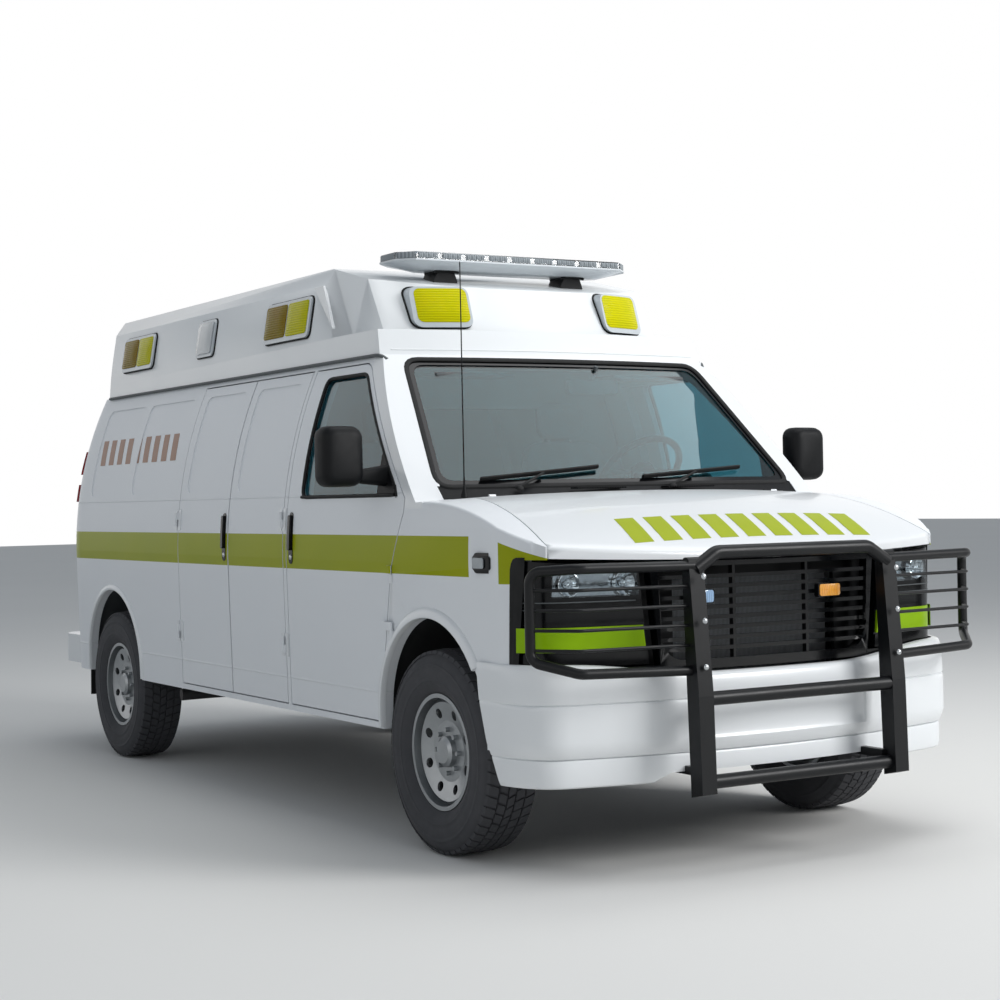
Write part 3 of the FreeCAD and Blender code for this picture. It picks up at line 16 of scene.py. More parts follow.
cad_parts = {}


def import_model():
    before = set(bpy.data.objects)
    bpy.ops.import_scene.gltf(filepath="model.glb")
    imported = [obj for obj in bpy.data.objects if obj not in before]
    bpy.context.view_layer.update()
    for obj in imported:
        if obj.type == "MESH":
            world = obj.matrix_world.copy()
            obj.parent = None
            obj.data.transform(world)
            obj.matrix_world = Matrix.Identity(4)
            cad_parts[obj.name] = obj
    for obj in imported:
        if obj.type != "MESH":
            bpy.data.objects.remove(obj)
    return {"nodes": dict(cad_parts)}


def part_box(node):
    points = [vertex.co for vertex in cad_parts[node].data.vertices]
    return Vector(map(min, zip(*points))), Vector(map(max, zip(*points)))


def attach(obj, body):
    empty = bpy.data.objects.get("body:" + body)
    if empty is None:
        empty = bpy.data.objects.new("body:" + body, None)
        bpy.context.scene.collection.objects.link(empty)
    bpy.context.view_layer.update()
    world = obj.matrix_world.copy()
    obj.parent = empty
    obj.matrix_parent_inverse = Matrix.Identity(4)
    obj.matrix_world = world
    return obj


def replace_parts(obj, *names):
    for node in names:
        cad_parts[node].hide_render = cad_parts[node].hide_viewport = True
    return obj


LOG = logging.getLogger("ambulance")

MM = 0.001
DATUM_Y = 1677.5  # station of the frame's origin, millimetres behind the door hinge datum
RIGHT, LEFT = SIDES = (-1, 1)  # passenger's side and driver's side, as signs of X
ACROSS, UP = Vector((1.0, 0.0, 0.0)), Vector((0.0, 0.0, 1.0))
AHEAD, BACK = Vector((0.0, -1.0, 0.0)), Vector((0.0, 1.0, 0.0))
RAKED = Vector((0.0, -0.7, 0.7))  # square to the windscreen
FULL_TURN = 2.0 * math.pi
WELD = 1e-7  # points nearer than this become one, in metres

Place = Callable[[float, float, float], Vector]
Outline = Sequence[tuple[float, float]]
Socket = bpy.types.NodeSocket
NODES: dict[str, bpy.types.Object] = {}  # the carried-over nodes, filled when the frame is loaded


def at(x: float, y: float, z: float) -> Vector:
    """A point given by station in millimetres, as a vector of the frame in metres."""
    return Vector((x * MM, (y - DATUM_Y) * MM, z * MM))


def lerp(a: float, b: float, t: float) -> float:
    """The value a share t of the way from a to b."""
    return a + (b - a) * t


def side_name(side: int) -> str:
    """The word that node and body names use for a side."""
    return "right" if side < 0 else "left"


def both(stem: str) -> tuple[str, str]:
    """The names of a stem's right and left nodes."""
    return stem + "_right", stem + "_left"


def stand(name: str, data: bpy.types.ID) -> bpy.types.Object:
    """Makes an object of mesh, light or camera data and puts it in the scene."""
    made = bpy.data.objects.new(name, data)
    bpy.context.scene.collection.objects.link(made)
    return made


# ---- materials ----------------------------------------------------------------------------------


def linear(code: str) -> tuple[float, float, float, float]:
    """Turns an sRGB hex colour, six digits after a number sign, to linear with an alpha of one."""
    parts = [int(code[i : i + 2], 16) / 255.0 for i in (1, 3, 5)]
    red, green, blue = (c / 12.92 if c <= 0.04045 else ((c + 0.055) / 1.055) ** 2.4 for c in parts)
    return red, green, blue, 1.0


class Nodes:
    """Adds nodes to one tree. Every input is given a constant or the socket it is linked to."""

    def __init__(self, tree: bpy.types.NodeTree) -> None:
        """Starts on an emptied tree."""
        self.tree = tree
        tree.nodes.clear()

    def add(self, kind: str, inputs: Optional[dict] = None, **settings: object) -> bpy.types.Node:
        """Adds a node.

        Args:
            kind: The node's type name.
            inputs: Constants or source sockets by input name or index.
            settings: Properties of the node.

        Returns:
            The new node.
        """
        node = self.tree.nodes.new(kind)
        for key, value in settings.items():
            setattr(node, key, value)
        for key, value in (inputs or {}).items():
            if isinstance(value, Socket):
                self.tree.links.new(value, node.inputs[key])
            else:
                node.inputs[key].default_value = value
        return node

    def math(self, operation: str, *values: object) -> Socket:
        """The result of a sum."""
        return self.add("ShaderNodeMath", dict(enumerate(values)), operation=operation).outputs[0]

    def vector(self, operation: str, inputs: dict) -> Socket:
        """The result of a sum of vectors."""
        return self.add("ShaderNodeVectorMath", inputs, operation=operation).outputs[0]

    def mix(self, share: object, first: object, second: object, blend: str = "MIX") -> Socket:
        """One colour laid over another."""
        inputs = {0: share, 6: first, 7: second}
        return self.add("ShaderNodeMix", inputs, data_type="RGBA", blend_type=blend).outputs[2]

    def span(self, value: Socket, low: float, high: float, to_low: float, to_high: float,
             ease: str = "LINEAR") -> Socket:
        """A value carried from one range to another."""
        inputs = dict(enumerate((value, low, high, to_low, to_high)))
        return self.add("ShaderNodeMapRange", inputs, interpolation_type=ease).outputs["Result"]

    def noise(self, place: Socket, size_mm: float, detail: float) -> Socket:
        """A noise value whose lumps have the given size."""
        inputs = {"Scale": 1.0 / (size_mm * MM), "Detail": detail, "Vector": place}
        return self.add("ShaderNodeTexNoise", inputs).outputs["Fac"]

    def bump(self, height: Socket, distance: float, strength: float = 1.0) -> Socket:
        """A normal bent by a height of the given depth in metres."""
        inputs = {"Height": height, "Distance": distance, "Strength": strength}
        return self.add("ShaderNodeBump", inputs).outputs["Normal"]

    def split(self, vector: Socket) -> bpy.types.NodeOutputs:
        """The three numbers of a vector."""
        return self.add("ShaderNodeSeparateXYZ", {0: vector}).outputs

    def texture(self, word: str) -> Socket:
        """A texture coordinate."""
        return self.add("ShaderNodeTexCoord").outputs[word]

    def sine(self, value: Socket, pitch_mm: float) -> Socket:
        """A sine that repeats at a pitch."""
        return self.math("SINE", self.math("MULTIPLY", value, FULL_TURN / (pitch_mm * MM)))

    def within(self, value: Socket, low: float, high: float) -> Socket:
        """One where the value lies between two lengths in metres, otherwise zero."""
        return self.math("COMPARE", value, (low + high) / 2.0, (high - low) / 2.0)


@dataclass(frozen=True)
class Finish:
    """A surface finish: what it is, how it was made and the scale of its grain."""

    name: str
    colour: str
    shade: str = ""  # second colour of the slow mottling
    roughness: float = 0.5
    spread: float = 0.06  # how far roughness wanders
    mottle_mm: float = 180.0
    grain_mm: float = 3.0
    grain_depth_mm: float = 0.05
    metallic: float = 0.0
    ior: float = 1.5
    coat: float = 0.0
    specular: float = 0.5
    transmission: float = 0.0

    def material(self) -> bpy.types.Material:
        """The finished material, made once and then shared."""
        known = bpy.data.materials.get(self.name)
        if known:
            return known
        made = bpy.data.materials.new(self.name)
        made.use_nodes = True
        nodes = Nodes(made.node_tree)
        place = nodes.texture("Object")
        surface = nodes.add("ShaderNodeBsdfPrincipled", {
            "Metallic": self.metallic, "IOR": self.ior, "Specular IOR Level": self.specular,
            "Coat Weight": self.coat, "Coat Roughness": 0.04, "Transmission Weight": self.transmission,
            "Base Color": self.paint(nodes, place), "Roughness": self.polish(nodes, place),
            "Normal": self.relief(nodes, place)})
        nodes.add("ShaderNodeOutputMaterial", {"Surface": surface.outputs["BSDF"]})
        return made

    def paint(self, nodes: Nodes, place: Socket) -> Socket:
        """Colour that drifts slowly between the finish's two colours."""
        cloud = nodes.noise(place, self.mottle_mm, 3.0)
        return nodes.mix(cloud, linear(self.colour), linear(self.shade or self.colour))

    def polish(self, nodes: Nodes, place: Socket) -> Socket:
        """Roughness that wanders a little, as handling and weather leave it."""
        cloud = nodes.noise(place, self.mottle_mm * 0.4, 2.0)
        return nodes.span(cloud, 0.0, 1.0, max(0.0, self.roughness - self.spread), self.roughness + self.spread)

    def relief(self, nodes: Nodes, place: Socket) -> Socket:
        """Grain as a bump of its real depth."""
        return nodes.bump(nodes.noise(place, self.grain_mm, 2.0), self.grain_depth_mm * MM)


@dataclass(frozen=True)
class Glass(Finish):
    """A clear pane or moulding, with no grain."""

    def relief(self, nodes: Nodes, place: Socket) -> Socket:
        """The faint waviness of a bent pane."""
        return nodes.bump(nodes.noise(place, 400.0, 0.0), 0.0004, 0.3)


@dataclass(frozen=True)
class StripedPaint(Finish):
    """White enamel with a band of reflective yellow-green film along each side."""

    film: str = "#a0a60c"
    film_shade: str = "#929c0a"
    band_z: tuple[float, float] = (1058.0, 1206.0)
    band_y: tuple[float, float] = (-402.0, 4300.0)
    wedge_y: tuple[float, float] = (-1000.0, -600.0)
    wedge_slope: float = -0.32  # its top edge falls forward
    wedge_span: tuple[float, float] = (1.5, 1.915)  # of height plus slope times station, in metres
    creases: tuple[float, ...] = (585.0, 1368.0)  # heights of the pressed lines along the side
    crease_mm: float = 7.0

    def patch(self, nodes: Nodes, y: Socket, limits: tuple[float, float], other: Socket) -> Socket:
        """One between two stations where another test also holds."""
        front, rear = ((limit - DATUM_Y) * MM for limit in limits)
        return nodes.math("MULTIPLY", other, nodes.within(y, front, rear))

    def paint(self, nodes: Nodes, place: Socket) -> Socket:
        """Enamel, with film laid over it inside the band and the wedge before the wing lamp."""
        x, y, z = nodes.split(place)
        low, high = (level * MM for level in self.band_z)
        band = self.patch(nodes, y, self.band_y, nodes.within(z, low, high))
        sloped = nodes.math("ADD", z, nodes.math("MULTIPLY_ADD", y, self.wedge_slope, 0.0))
        wedge = self.patch(nodes, y, self.wedge_y, nodes.within(sloped, *self.wedge_span))
        laid = nodes.math("MAXIMUM", band, nodes.math("MULTIPLY", wedge, nodes.within(z, low - 0.02, 2.0)))
        # film lies only where the surface faces away from the vehicle's middle, not inside the load room
        away = nodes.math("MULTIPLY", x, nodes.split(nodes.texture("Normal"))[0])
        mask = nodes.math("MULTIPLY", laid, nodes.math("GREATER_THAN", away, 0.15))
        film = nodes.mix(nodes.noise(place, 320.0, 1.0), linear(self.film), linear(self.film_shade))
        return nodes.mix(mask, super().paint(nodes, place), film)

    def relief(self, nodes: Nodes, place: Socket) -> Socket:
        """Orange peel of sprayed enamel and the two lines pressed along the side."""
        height = nodes.split(place)[2]
        total = nodes.math("MULTIPLY", nodes.noise(place, self.grain_mm, 2.0), 0.02)
        for level in self.creases:
            away = nodes.math("ABSOLUTE", nodes.math("SUBTRACT", height, level * MM))
            ridge = nodes.span(away, 0.0, self.crease_mm * MM, 1.0, 0.0, "SMOOTHSTEP")
            total = nodes.math("ADD", total, ridge)
        return nodes.bump(total, 0.0022)


class Lines(Enum):
    """Which way the ribs of a moulded lens run, as the axis they repeat along."""

    ALONG_X = "X"
    ALONG_Z = "Z"


@dataclass(frozen=True)
class Ribbed(Finish):
    """A moulding with fine ribs at a stated pitch, such as a lens or a fin pack."""

    lines: Lines = Lines.ALONG_Z
    pitch_mm: float = 9.0
    rib_depth_mm: float = 1.5
    dark: float = 0.72  # how far painted shade darkens the colour between ribs

    def wave(self, nodes: Nodes, place: Socket) -> Socket:
        """A wave from zero to one that repeats once for each rib."""
        return nodes.math("MULTIPLY_ADD", nodes.sine(nodes.split(place)[self.lines.value], self.pitch_mm), 0.5, 0.5)

    def paint(self, nodes: Nodes, place: Socket) -> Socket:
        """The finish's colour, darkened between the ribs by painted shade."""
        level = nodes.span(self.wave(nodes, place), 0.0, 1.0, self.dark, 1.0)
        return nodes.mix(1.0, super().paint(nodes, place), level, "MULTIPLY")

    def relief(self, nodes: Nodes, place: Socket) -> Socket:
        """Ribs as a bump of their real depth."""
        return nodes.bump(self.wave(nodes, place), self.rib_depth_mm * MM)


@dataclass(frozen=True)
class Woven(Finish):
    """Woven seat cloth: crossing threads at a stated spacing, matt with a soft sheen."""

    thread_mm: float = 4.0  # drawn coarser than real thread so that the weave shows

    def relief(self, nodes: Nodes, place: Socket) -> Socket:
        """Threads that cross, as three sines added."""
        x, y, z = (nodes.sine(value, self.thread_mm) for value in nodes.split(place))
        return nodes.bump(nodes.math("ADD", nodes.math("ADD", x, y), z), 0.0006)


# Each finish: name, two colours, roughness and its spread, mottling, grain and its depth in millimetres.
# Sprayed two-coat enamel over steel: glossy, with faint orange peel.
ENAMEL = Finish("enamel_white_sprayed", "#e9ebec", "#e3e6e8", 0.3, 0.05, 900, 2.5, 0.02, coat=0.3)
STRIPED = StripedPaint("enamel_white_with_reflective_film", "#eceef0", "#e6e9ec", 0.32, 0.05, 900, 2.5, specular=0.14)
# Gel coat on glass-fibre: whiter than the enamel and less sharp in its gloss.
GELCOAT = Finish("gelcoat_white_moulded", "#eceeee", "#e4e7e9", 0.36, 0.06, 500, 9, 0.05, coat=0.35)
# Laminated and toughened float glass, green from its iron.
SCREEN = Glass("float_glass_laminated", "#78b0b8", "#71a8b1", 0.0, 0.0, ior=1.52, specular=0.1, transmission=1.0)
SIDE_GLASS = Glass("float_glass_toughened", "#6c9fab", "#6697a4", 0.0, 0.0, ior=1.52, specular=0.1, transmission=1.0)
DARK_GLASS = Glass("float_glass_privacy", "#58646a", "#525e64", 0.0, 0.0, ior=1.52, specular=0.2, transmission=1.0)
# Polypropylene moulded in a grained tool: dark, matt and finely pitted.
GRAINED = Finish("polypropylene_black_grained", "#08090b", "#0d0f12", 0.5, 0.08, 90, 1.6, 0.12, specular=0.18)
GREY_TRIM = Finish("polypropylene_grey_grained", "#4d5254", "#585d5f", 0.6, 0.08, 90, 1.6, 0.12)
# ABS from a polished tool: black and glossy.
GLOSS_BLACK = Finish("abs_black_polished", "#060709", "#0a0b0d", 0.18, 0.05, 120, 6, 0.02, specular=0.35)
# EPDM extrusion: dull and soft-looking.
RUBBER_SEAL = Finish("epdm_rubber_extruded", "#0a0b0c", "#101112", 0.65, 0.08, 60, 1.2, 0.05, ior=1.52, specular=0.3)
# Vulcanised tread rubber, greyed by use.
TYRE_RUBBER = Finish("tyre_rubber_vulcanised", "#3d3e41", "#49494c", 0.82, 0.08, 70, 1.5, 0.2, ior=1.52, specular=0.3)
# Powder coat on steel tube: black, with a fine orange peel.
POWDER = Finish("steel_powder_coated_black", "#0a0b0d", "#101215", 0.38, 0.07, 140, 1.4, 0.08, specular=0.28)
# Wheel steel sprayed silver: metal flake under lacquer.
WHEEL_SILVER = Finish("wheel_steel_silver_lacquered", "#a4a7a9", "#909497", 0.34, 0.07, 60, 0.8, 0.03, 0.8, coat=0.2)
# Zinc-plated and stainless small parts, and a vacuum-metallised reflector.
BRIGHT_STEEL = Finish("steel_zinc_plated", "#b9bcbe", "#a9adb0", 0.3, 0.08, 30, 0.7, 0.03, metallic=1.0)
CHROME = Finish("reflector_metallised", "#dfe3e6", "#cfd4d8", 0.09, 0.03, 25, 12, 0.2, metallic=1.0)
# Iron castings and rolled steel below the floor, painted or scaled dark.
CAST_IRON = Finish("iron_cast_dark", "#3a3a3b", "#2c2b2b", 0.68, 0.1, 40, 1.8, 0.3, metallic=0.4)
CHASSIS = Finish("steel_waxed_black", "#1e1f20", "#292826", 0.6, 0.1, 120, 4, 0.15, coat=0.1)
# Brazed aluminium fins, with deep painted shade between them.
FINS = Ribbed("aluminium_fins_brazed", "#8e9295", "#7f8387", 0.4, 0.06, metallic=1.0, lines=Lines.ALONG_X,
              pitch_mm=6, rib_depth_mm=2.0, dark=0.35)
LINER = Finish("polyethylene_black_blown", "#18191a", "#212223", 0.75, 0.08, 100, 5, 0.3)
# Painted hardboard, vinyl, rubber and cloth inside.
LINING = Finish("vinyl_grey_pressed", "#858f92", "#7b8588", 0.6, 0.08, 220, 1.4, 0.1)
FLOORING = Finish("rubber_floor_studded", "#45484b", "#3b3e41", 0.72, 0.08, 200, 12, 0.5)
SEAT_CLOTH = Woven("polyester_cloth_woven_grey", "#8b8f92", "#7b7f83", 0.85, 0.05, 80)
# Lenses, moulded with ribs or prisms; the ribbed ones carry painted shade between their ribs.
LIME_LENS = Ribbed("polycarbonate_lime_prismatic", "#dad008", "#c6c806", 0.18, 0.06, 60, ior=1.58, specular=0.05,
                   pitch_mm=11, rib_depth_mm=1.2, dark=0.8)
OLIVE_LENS = Ribbed("polycarbonate_olive_prismatic", "#8a820a", "#8f6a10", 0.22, 0.06, 110, ior=1.58, specular=0.05,
                    pitch_mm=11, rib_depth_mm=1.2, dark=0.8)
RED_LENS = Ribbed("acrylic_red_prismatic", "#a8101e", "#8f0c18", 0.16, 0.04, 40, ior=1.49, coat=1.0,
                  pitch_mm=8, rib_depth_mm=1.0, dark=0.75)
AMBER_LENS = Ribbed("acrylic_amber_prismatic", "#e8901a", "#f5b13a", 0.16, 0.04, 30, ior=1.49, coat=1.0,
                    lines=Lines.ALONG_X, rib_depth_mm=0.8, dark=0.75)
BLUE_LENS = Ribbed("acrylic_blue_prismatic", "#7fa6cf", "#93b7da", 0.16, 0.04, 30, ior=1.49, coat=1.0,
                   lines=Lines.ALONG_X, rib_depth_mm=0.8, dark=0.8)
LED_PANEL = Ribbed("led_module_grey", "#959ca1", "#a2a9ad", 0.4, 0.05, specular=0.1, lines=Lines.ALONG_X,
                   pitch_mm=12, rib_depth_mm=1.0, dark=0.6)
CLEAR_LENS = Glass("polycarbonate_clear_moulded", "#eef3f5", "#e6ecef", 0.03, 0.02, ior=1.58, specular=0.15,
                   transmission=1.0)
PALE_LENS = Finish("polycarbonate_frosted", "#dfe5e8", "#d3dade", 0.22, 0.05, 70, 5, 0.1, ior=1.58, coat=0.6,
                   transmission=0.55)
PALE_BEZEL = Finish("polycarbonate_bezel_pale", "#cdd3d7", "#bfc6cb", 0.3, 0.05, 60, 4, 0.03, coat=0.5)
# Films stuck on paint and lamps.
LIME_FILM = Finish("reflective_film_lime", "#94bf06", "#88b204", 0.3, 0.04, 70, 3, 0.05, specular=0.18)
MARK_LIME = Finish("reflective_film_green", "#a6b406", "#9caa04", 0.35, 0.04, 90, 3, 0.04, specular=0.15)
MARK_TAN = Finish("vinyl_film_tan", "#a07a66", "#94705d", 0.45, 0.05, 90, 3, 0.04)
MIRROR_GLASS = Finish("mirror_silvered", "#d9dee0", "#d3d9db", 0.03, 0.01, 80, 50, 0.0, metallic=1.0)
FLOOR_STUDIO = Finish("studio_floor_matt", "#e4e3e0", "#e0dfdc", 0.9, 0.03, 3000, 40, 0.1)


# ---- the van's outer form -----------------------------------------------------------------------


def chart(value: float, points: Outline) -> float:
    """Reads a value off a chart of straight lines.

    Args:
        value: Where to read.
        points: Pairs in rising order of their first number.

    Returns:
        The second number there, held level past both ends.
    """
    if value <= points[0][0]:
        return points[0][1]
    for (a, low), (b, high) in zip(points, points[1:]):
        if value <= b:
            return lerp(low, high, (value - a) / (b - a))
    return points[-1][1]


def bow(x: float, half: float, sag: float) -> float:
    """How far a circular arc of the given sag at its half width has run back at x."""
    radius = (half * half + sag * sag) / (2.0 * sag)
    return radius - math.sqrt(max(0.0, radius * radius - x * x))


@dataclass(frozen=True)
class Form:
    """Outer surfaces of nose, sides, screen and roof cap, in millimetres by station."""

    belt_z: float = 1100.0
    belt_half: float = 1000.0
    sill_z: float = 440.0
    sill_half: float = 985.0
    gutter_z: float = 1945.0
    gutter_half: float = 815.0
    rear_y: float = 3330.0  # station of the rear face where the body's half width is nothing
    nose_y: float = -905.0
    nose_half: float = 905.0
    corner_y: float = -775.0
    bend: tuple[float, float] = (977.0, -650.0)
    side_y: float = -420.0  # where the nose ends and the side begins
    cap_profile: tuple[tuple[float, float], ...] = ((1945.0, 822.0), (2055.0, 808.0), (2302.0, 766.0), (2382.0, 694.0))
    cap_half: float = 828.0
    cap_z: float = 1885.0
    nose_bends: tuple[tuple[float, float, float], ...] = ((1.0, 0.08, 0.49), (2.0, 0.49, 0.3))

    def half_width(self, z: float) -> float:
        """Half the body's width at a height."""
        if z <= self.belt_z:
            return lerp(self.sill_half, self.belt_half, (z - self.sill_z) / (self.belt_z - self.sill_z))
        rise = self.gutter_z - self.belt_z
        inward = self.belt_half - self.gutter_half
        radius = (rise * rise + inward * inward) / (2.0 * inward)
        return self.belt_half - radius + math.sqrt(radius * radius - (z - self.belt_z) ** 2)

    def wall(self, side: int) -> Place:
        """Places a station and height on one side wall, or proud of it."""
        return lambda y, z, proud: at(side * (self.half_width(z) + proud), y, z)

    def tail(self, side: int) -> Place:
        """Places an x (towards the given side) and height on the rear face, or proud of it."""
        return lambda x, z, proud: at(side * x, self.rear_y + self.half_width(z) + proud, z)

    def cap_wall(self, side: int) -> Place:
        """Places a station and height on the cap's side."""
        return lambda y, z, proud: at(side * (chart(z, self.cap_profile) + proud), y, z)

    def cap_front(self, side: int) -> Place:
        """Places an x and height on the cap's raked front."""
        return lambda x, z, proud: at(
            side * x, 513.2 + 0.58 * (z - self.cap_z) + bow(x, self.cap_half, 245.0) - proud, z)

    def brow(self, x: float, z: float, proud: float) -> Vector:
        """A point on the cap's lower front band, over the windscreen."""
        return at(x, 484.0 + 0.4 * (z - self.cap_z) + bow(x, self.cap_half, 95.0) - proud, z)

    def plan(self, t: float, proud: float) -> tuple[float, float]:
        """The nose's plan before its bends are rounded: t is 1 at the corner, 2 at the bend, 3 at the side."""
        corner = (self.nose_half + 0.55 * proud, self.corner_y - 0.8 * proud)
        bend = (self.bend[0] + (proud if proud < 0.0 else 0.45 * proud), self.bend[1] - 0.5 * proud)
        end = (self.belt_half + 5.0 + (proud if proud < 0.0 else 0.1 * proud), self.side_y)
        if t <= 1.0:
            x = t * corner[0]
            return x, self.nose_y - proud + bow(x, corner[0], corner[1] - self.nose_y + proud)
        (ax, ay), (bx, by) = (corner, bend) if t <= 2.0 else (bend, end)
        share = t - (1.0 if t <= 2.0 else 2.0)
        return lerp(ax, bx, share), lerp(ay, by, share)

    def nose(self, t: float, z: float, proud: float) -> Vector:
        """A point of the nose, its plan rounded at both bends; t is negative on the right."""
        side = 1.0 if t >= 0.0 else -1.0
        t = abs(t)
        x, y = self.plan(t, proud)
        for bend, before, after in self.nose_bends:
            low, high = bend - before, bend + after
            if low < t < high:
                u = (t - low) / (high - low)
                ends = zip(*(self.plan(k, proud) for k in (low, bend, high)))
                x, y = ((1.0 - u) ** 2 * a + 2.0 * u * (1.0 - u) * b + u * u * c for a, b, c in ends)
        return at(side * x, y, z)

    def hood(self, x: float, y: float, proud: float) -> Vector:
        """A point on the hood above x and a station."""
        s = (y - self.nose_y) / 785.0
        return at(x, y, 1131.0 + 235.0 * s + 200.0 * s * (1.0 - s) - 30.0 * (x / 935.0) ** 2 + proud)

    def screen(self, x: float, z: float, proud: float) -> Vector:
        """A point on the windscreen's outer surface."""
        return at(x, -60.0 + (z - 1390.0) + bow(x, 1040.0, 148.0) - 1.414 * proud, z)


FORM = Form()


# ---- meshes -------------------------------------------------------------------------------------


def rounded(u0: float, u1: float, v0: float, v1: float, radius: float, steps: int = 5) -> Outline:
    """Outline of a rectangle with round corners.

    Args:
        u0: Low limit of the first coordinate.
        u1: High limit of the first coordinate.
        v0: Low limit of the second coordinate.
        v1: High limit of the second coordinate.
        radius: Corner radius.
        steps: Segments in each corner.

    Returns:
        Points in order round the outline.
    """
    corners = ((u1 - radius, v0 + radius, -90.0), (u1 - radius, v1 - radius, 0.0),
               (u0 + radius, v1 - radius, 90.0), (u0 + radius, v0 + radius, 180.0))
    turns = [90.0 * k / steps for k in range(steps + 1)]
    return [(cu + radius * math.cos(math.radians(start + turn)), cv + radius * math.sin(math.radians(start + turn)))
            for cu, cv, start in corners for turn in turns]


def filleted(corners: Outline, radius: float, steps: int = 5) -> Outline:
    """A closed polygon with every corner rounded by a curve that starts a radius before it."""
    points = []
    count = len(corners)
    for k, corner in enumerate(corners):
        here = Vector(corner)
        back = (Vector(corners[k - 1]) - here).normalized() * radius
        ahead = (Vector(corners[(k + 1) % count]) - here).normalized() * radius
        for j in range(steps + 1):
            t = j / steps
            spot = here + back * (1.0 - t) ** 2 + ahead * t ** 2
            points.append((spot.x, spot.y))
    return points


def stations(outline: Outline, step: float) -> list[tuple[int, float]]:
    """Places along a closed outline no further apart than a step, each as a corner's number and a share."""
    found = []
    for k, (u, v) in enumerate(outline):
        nu, nv = outline[(k + 1) % len(outline)]
        parts = max(1, int(math.hypot(nu - u, nv - v) / step))
        found += [(k, j / parts) for j in range(parts)]
    return found


def along(outline: Outline, station: tuple[int, float]) -> tuple[float, float]:
    """The point of a closed outline at one of its stations."""
    k, t = station
    (u, v), (nu, nv) = outline[k], outline[(k + 1) % len(outline)]
    return lerp(u, nu, t), lerp(v, nv, t)


def circle(axis: Vector, steps: int) -> list[Vector]:
    """Directions round an axis, in equal steps."""
    first = axis.orthogonal().normalized()
    second = axis.cross(first)
    return [first * math.cos(t) + second * math.sin(t) for t in (FULL_TURN * k / steps for k in range(steps))]


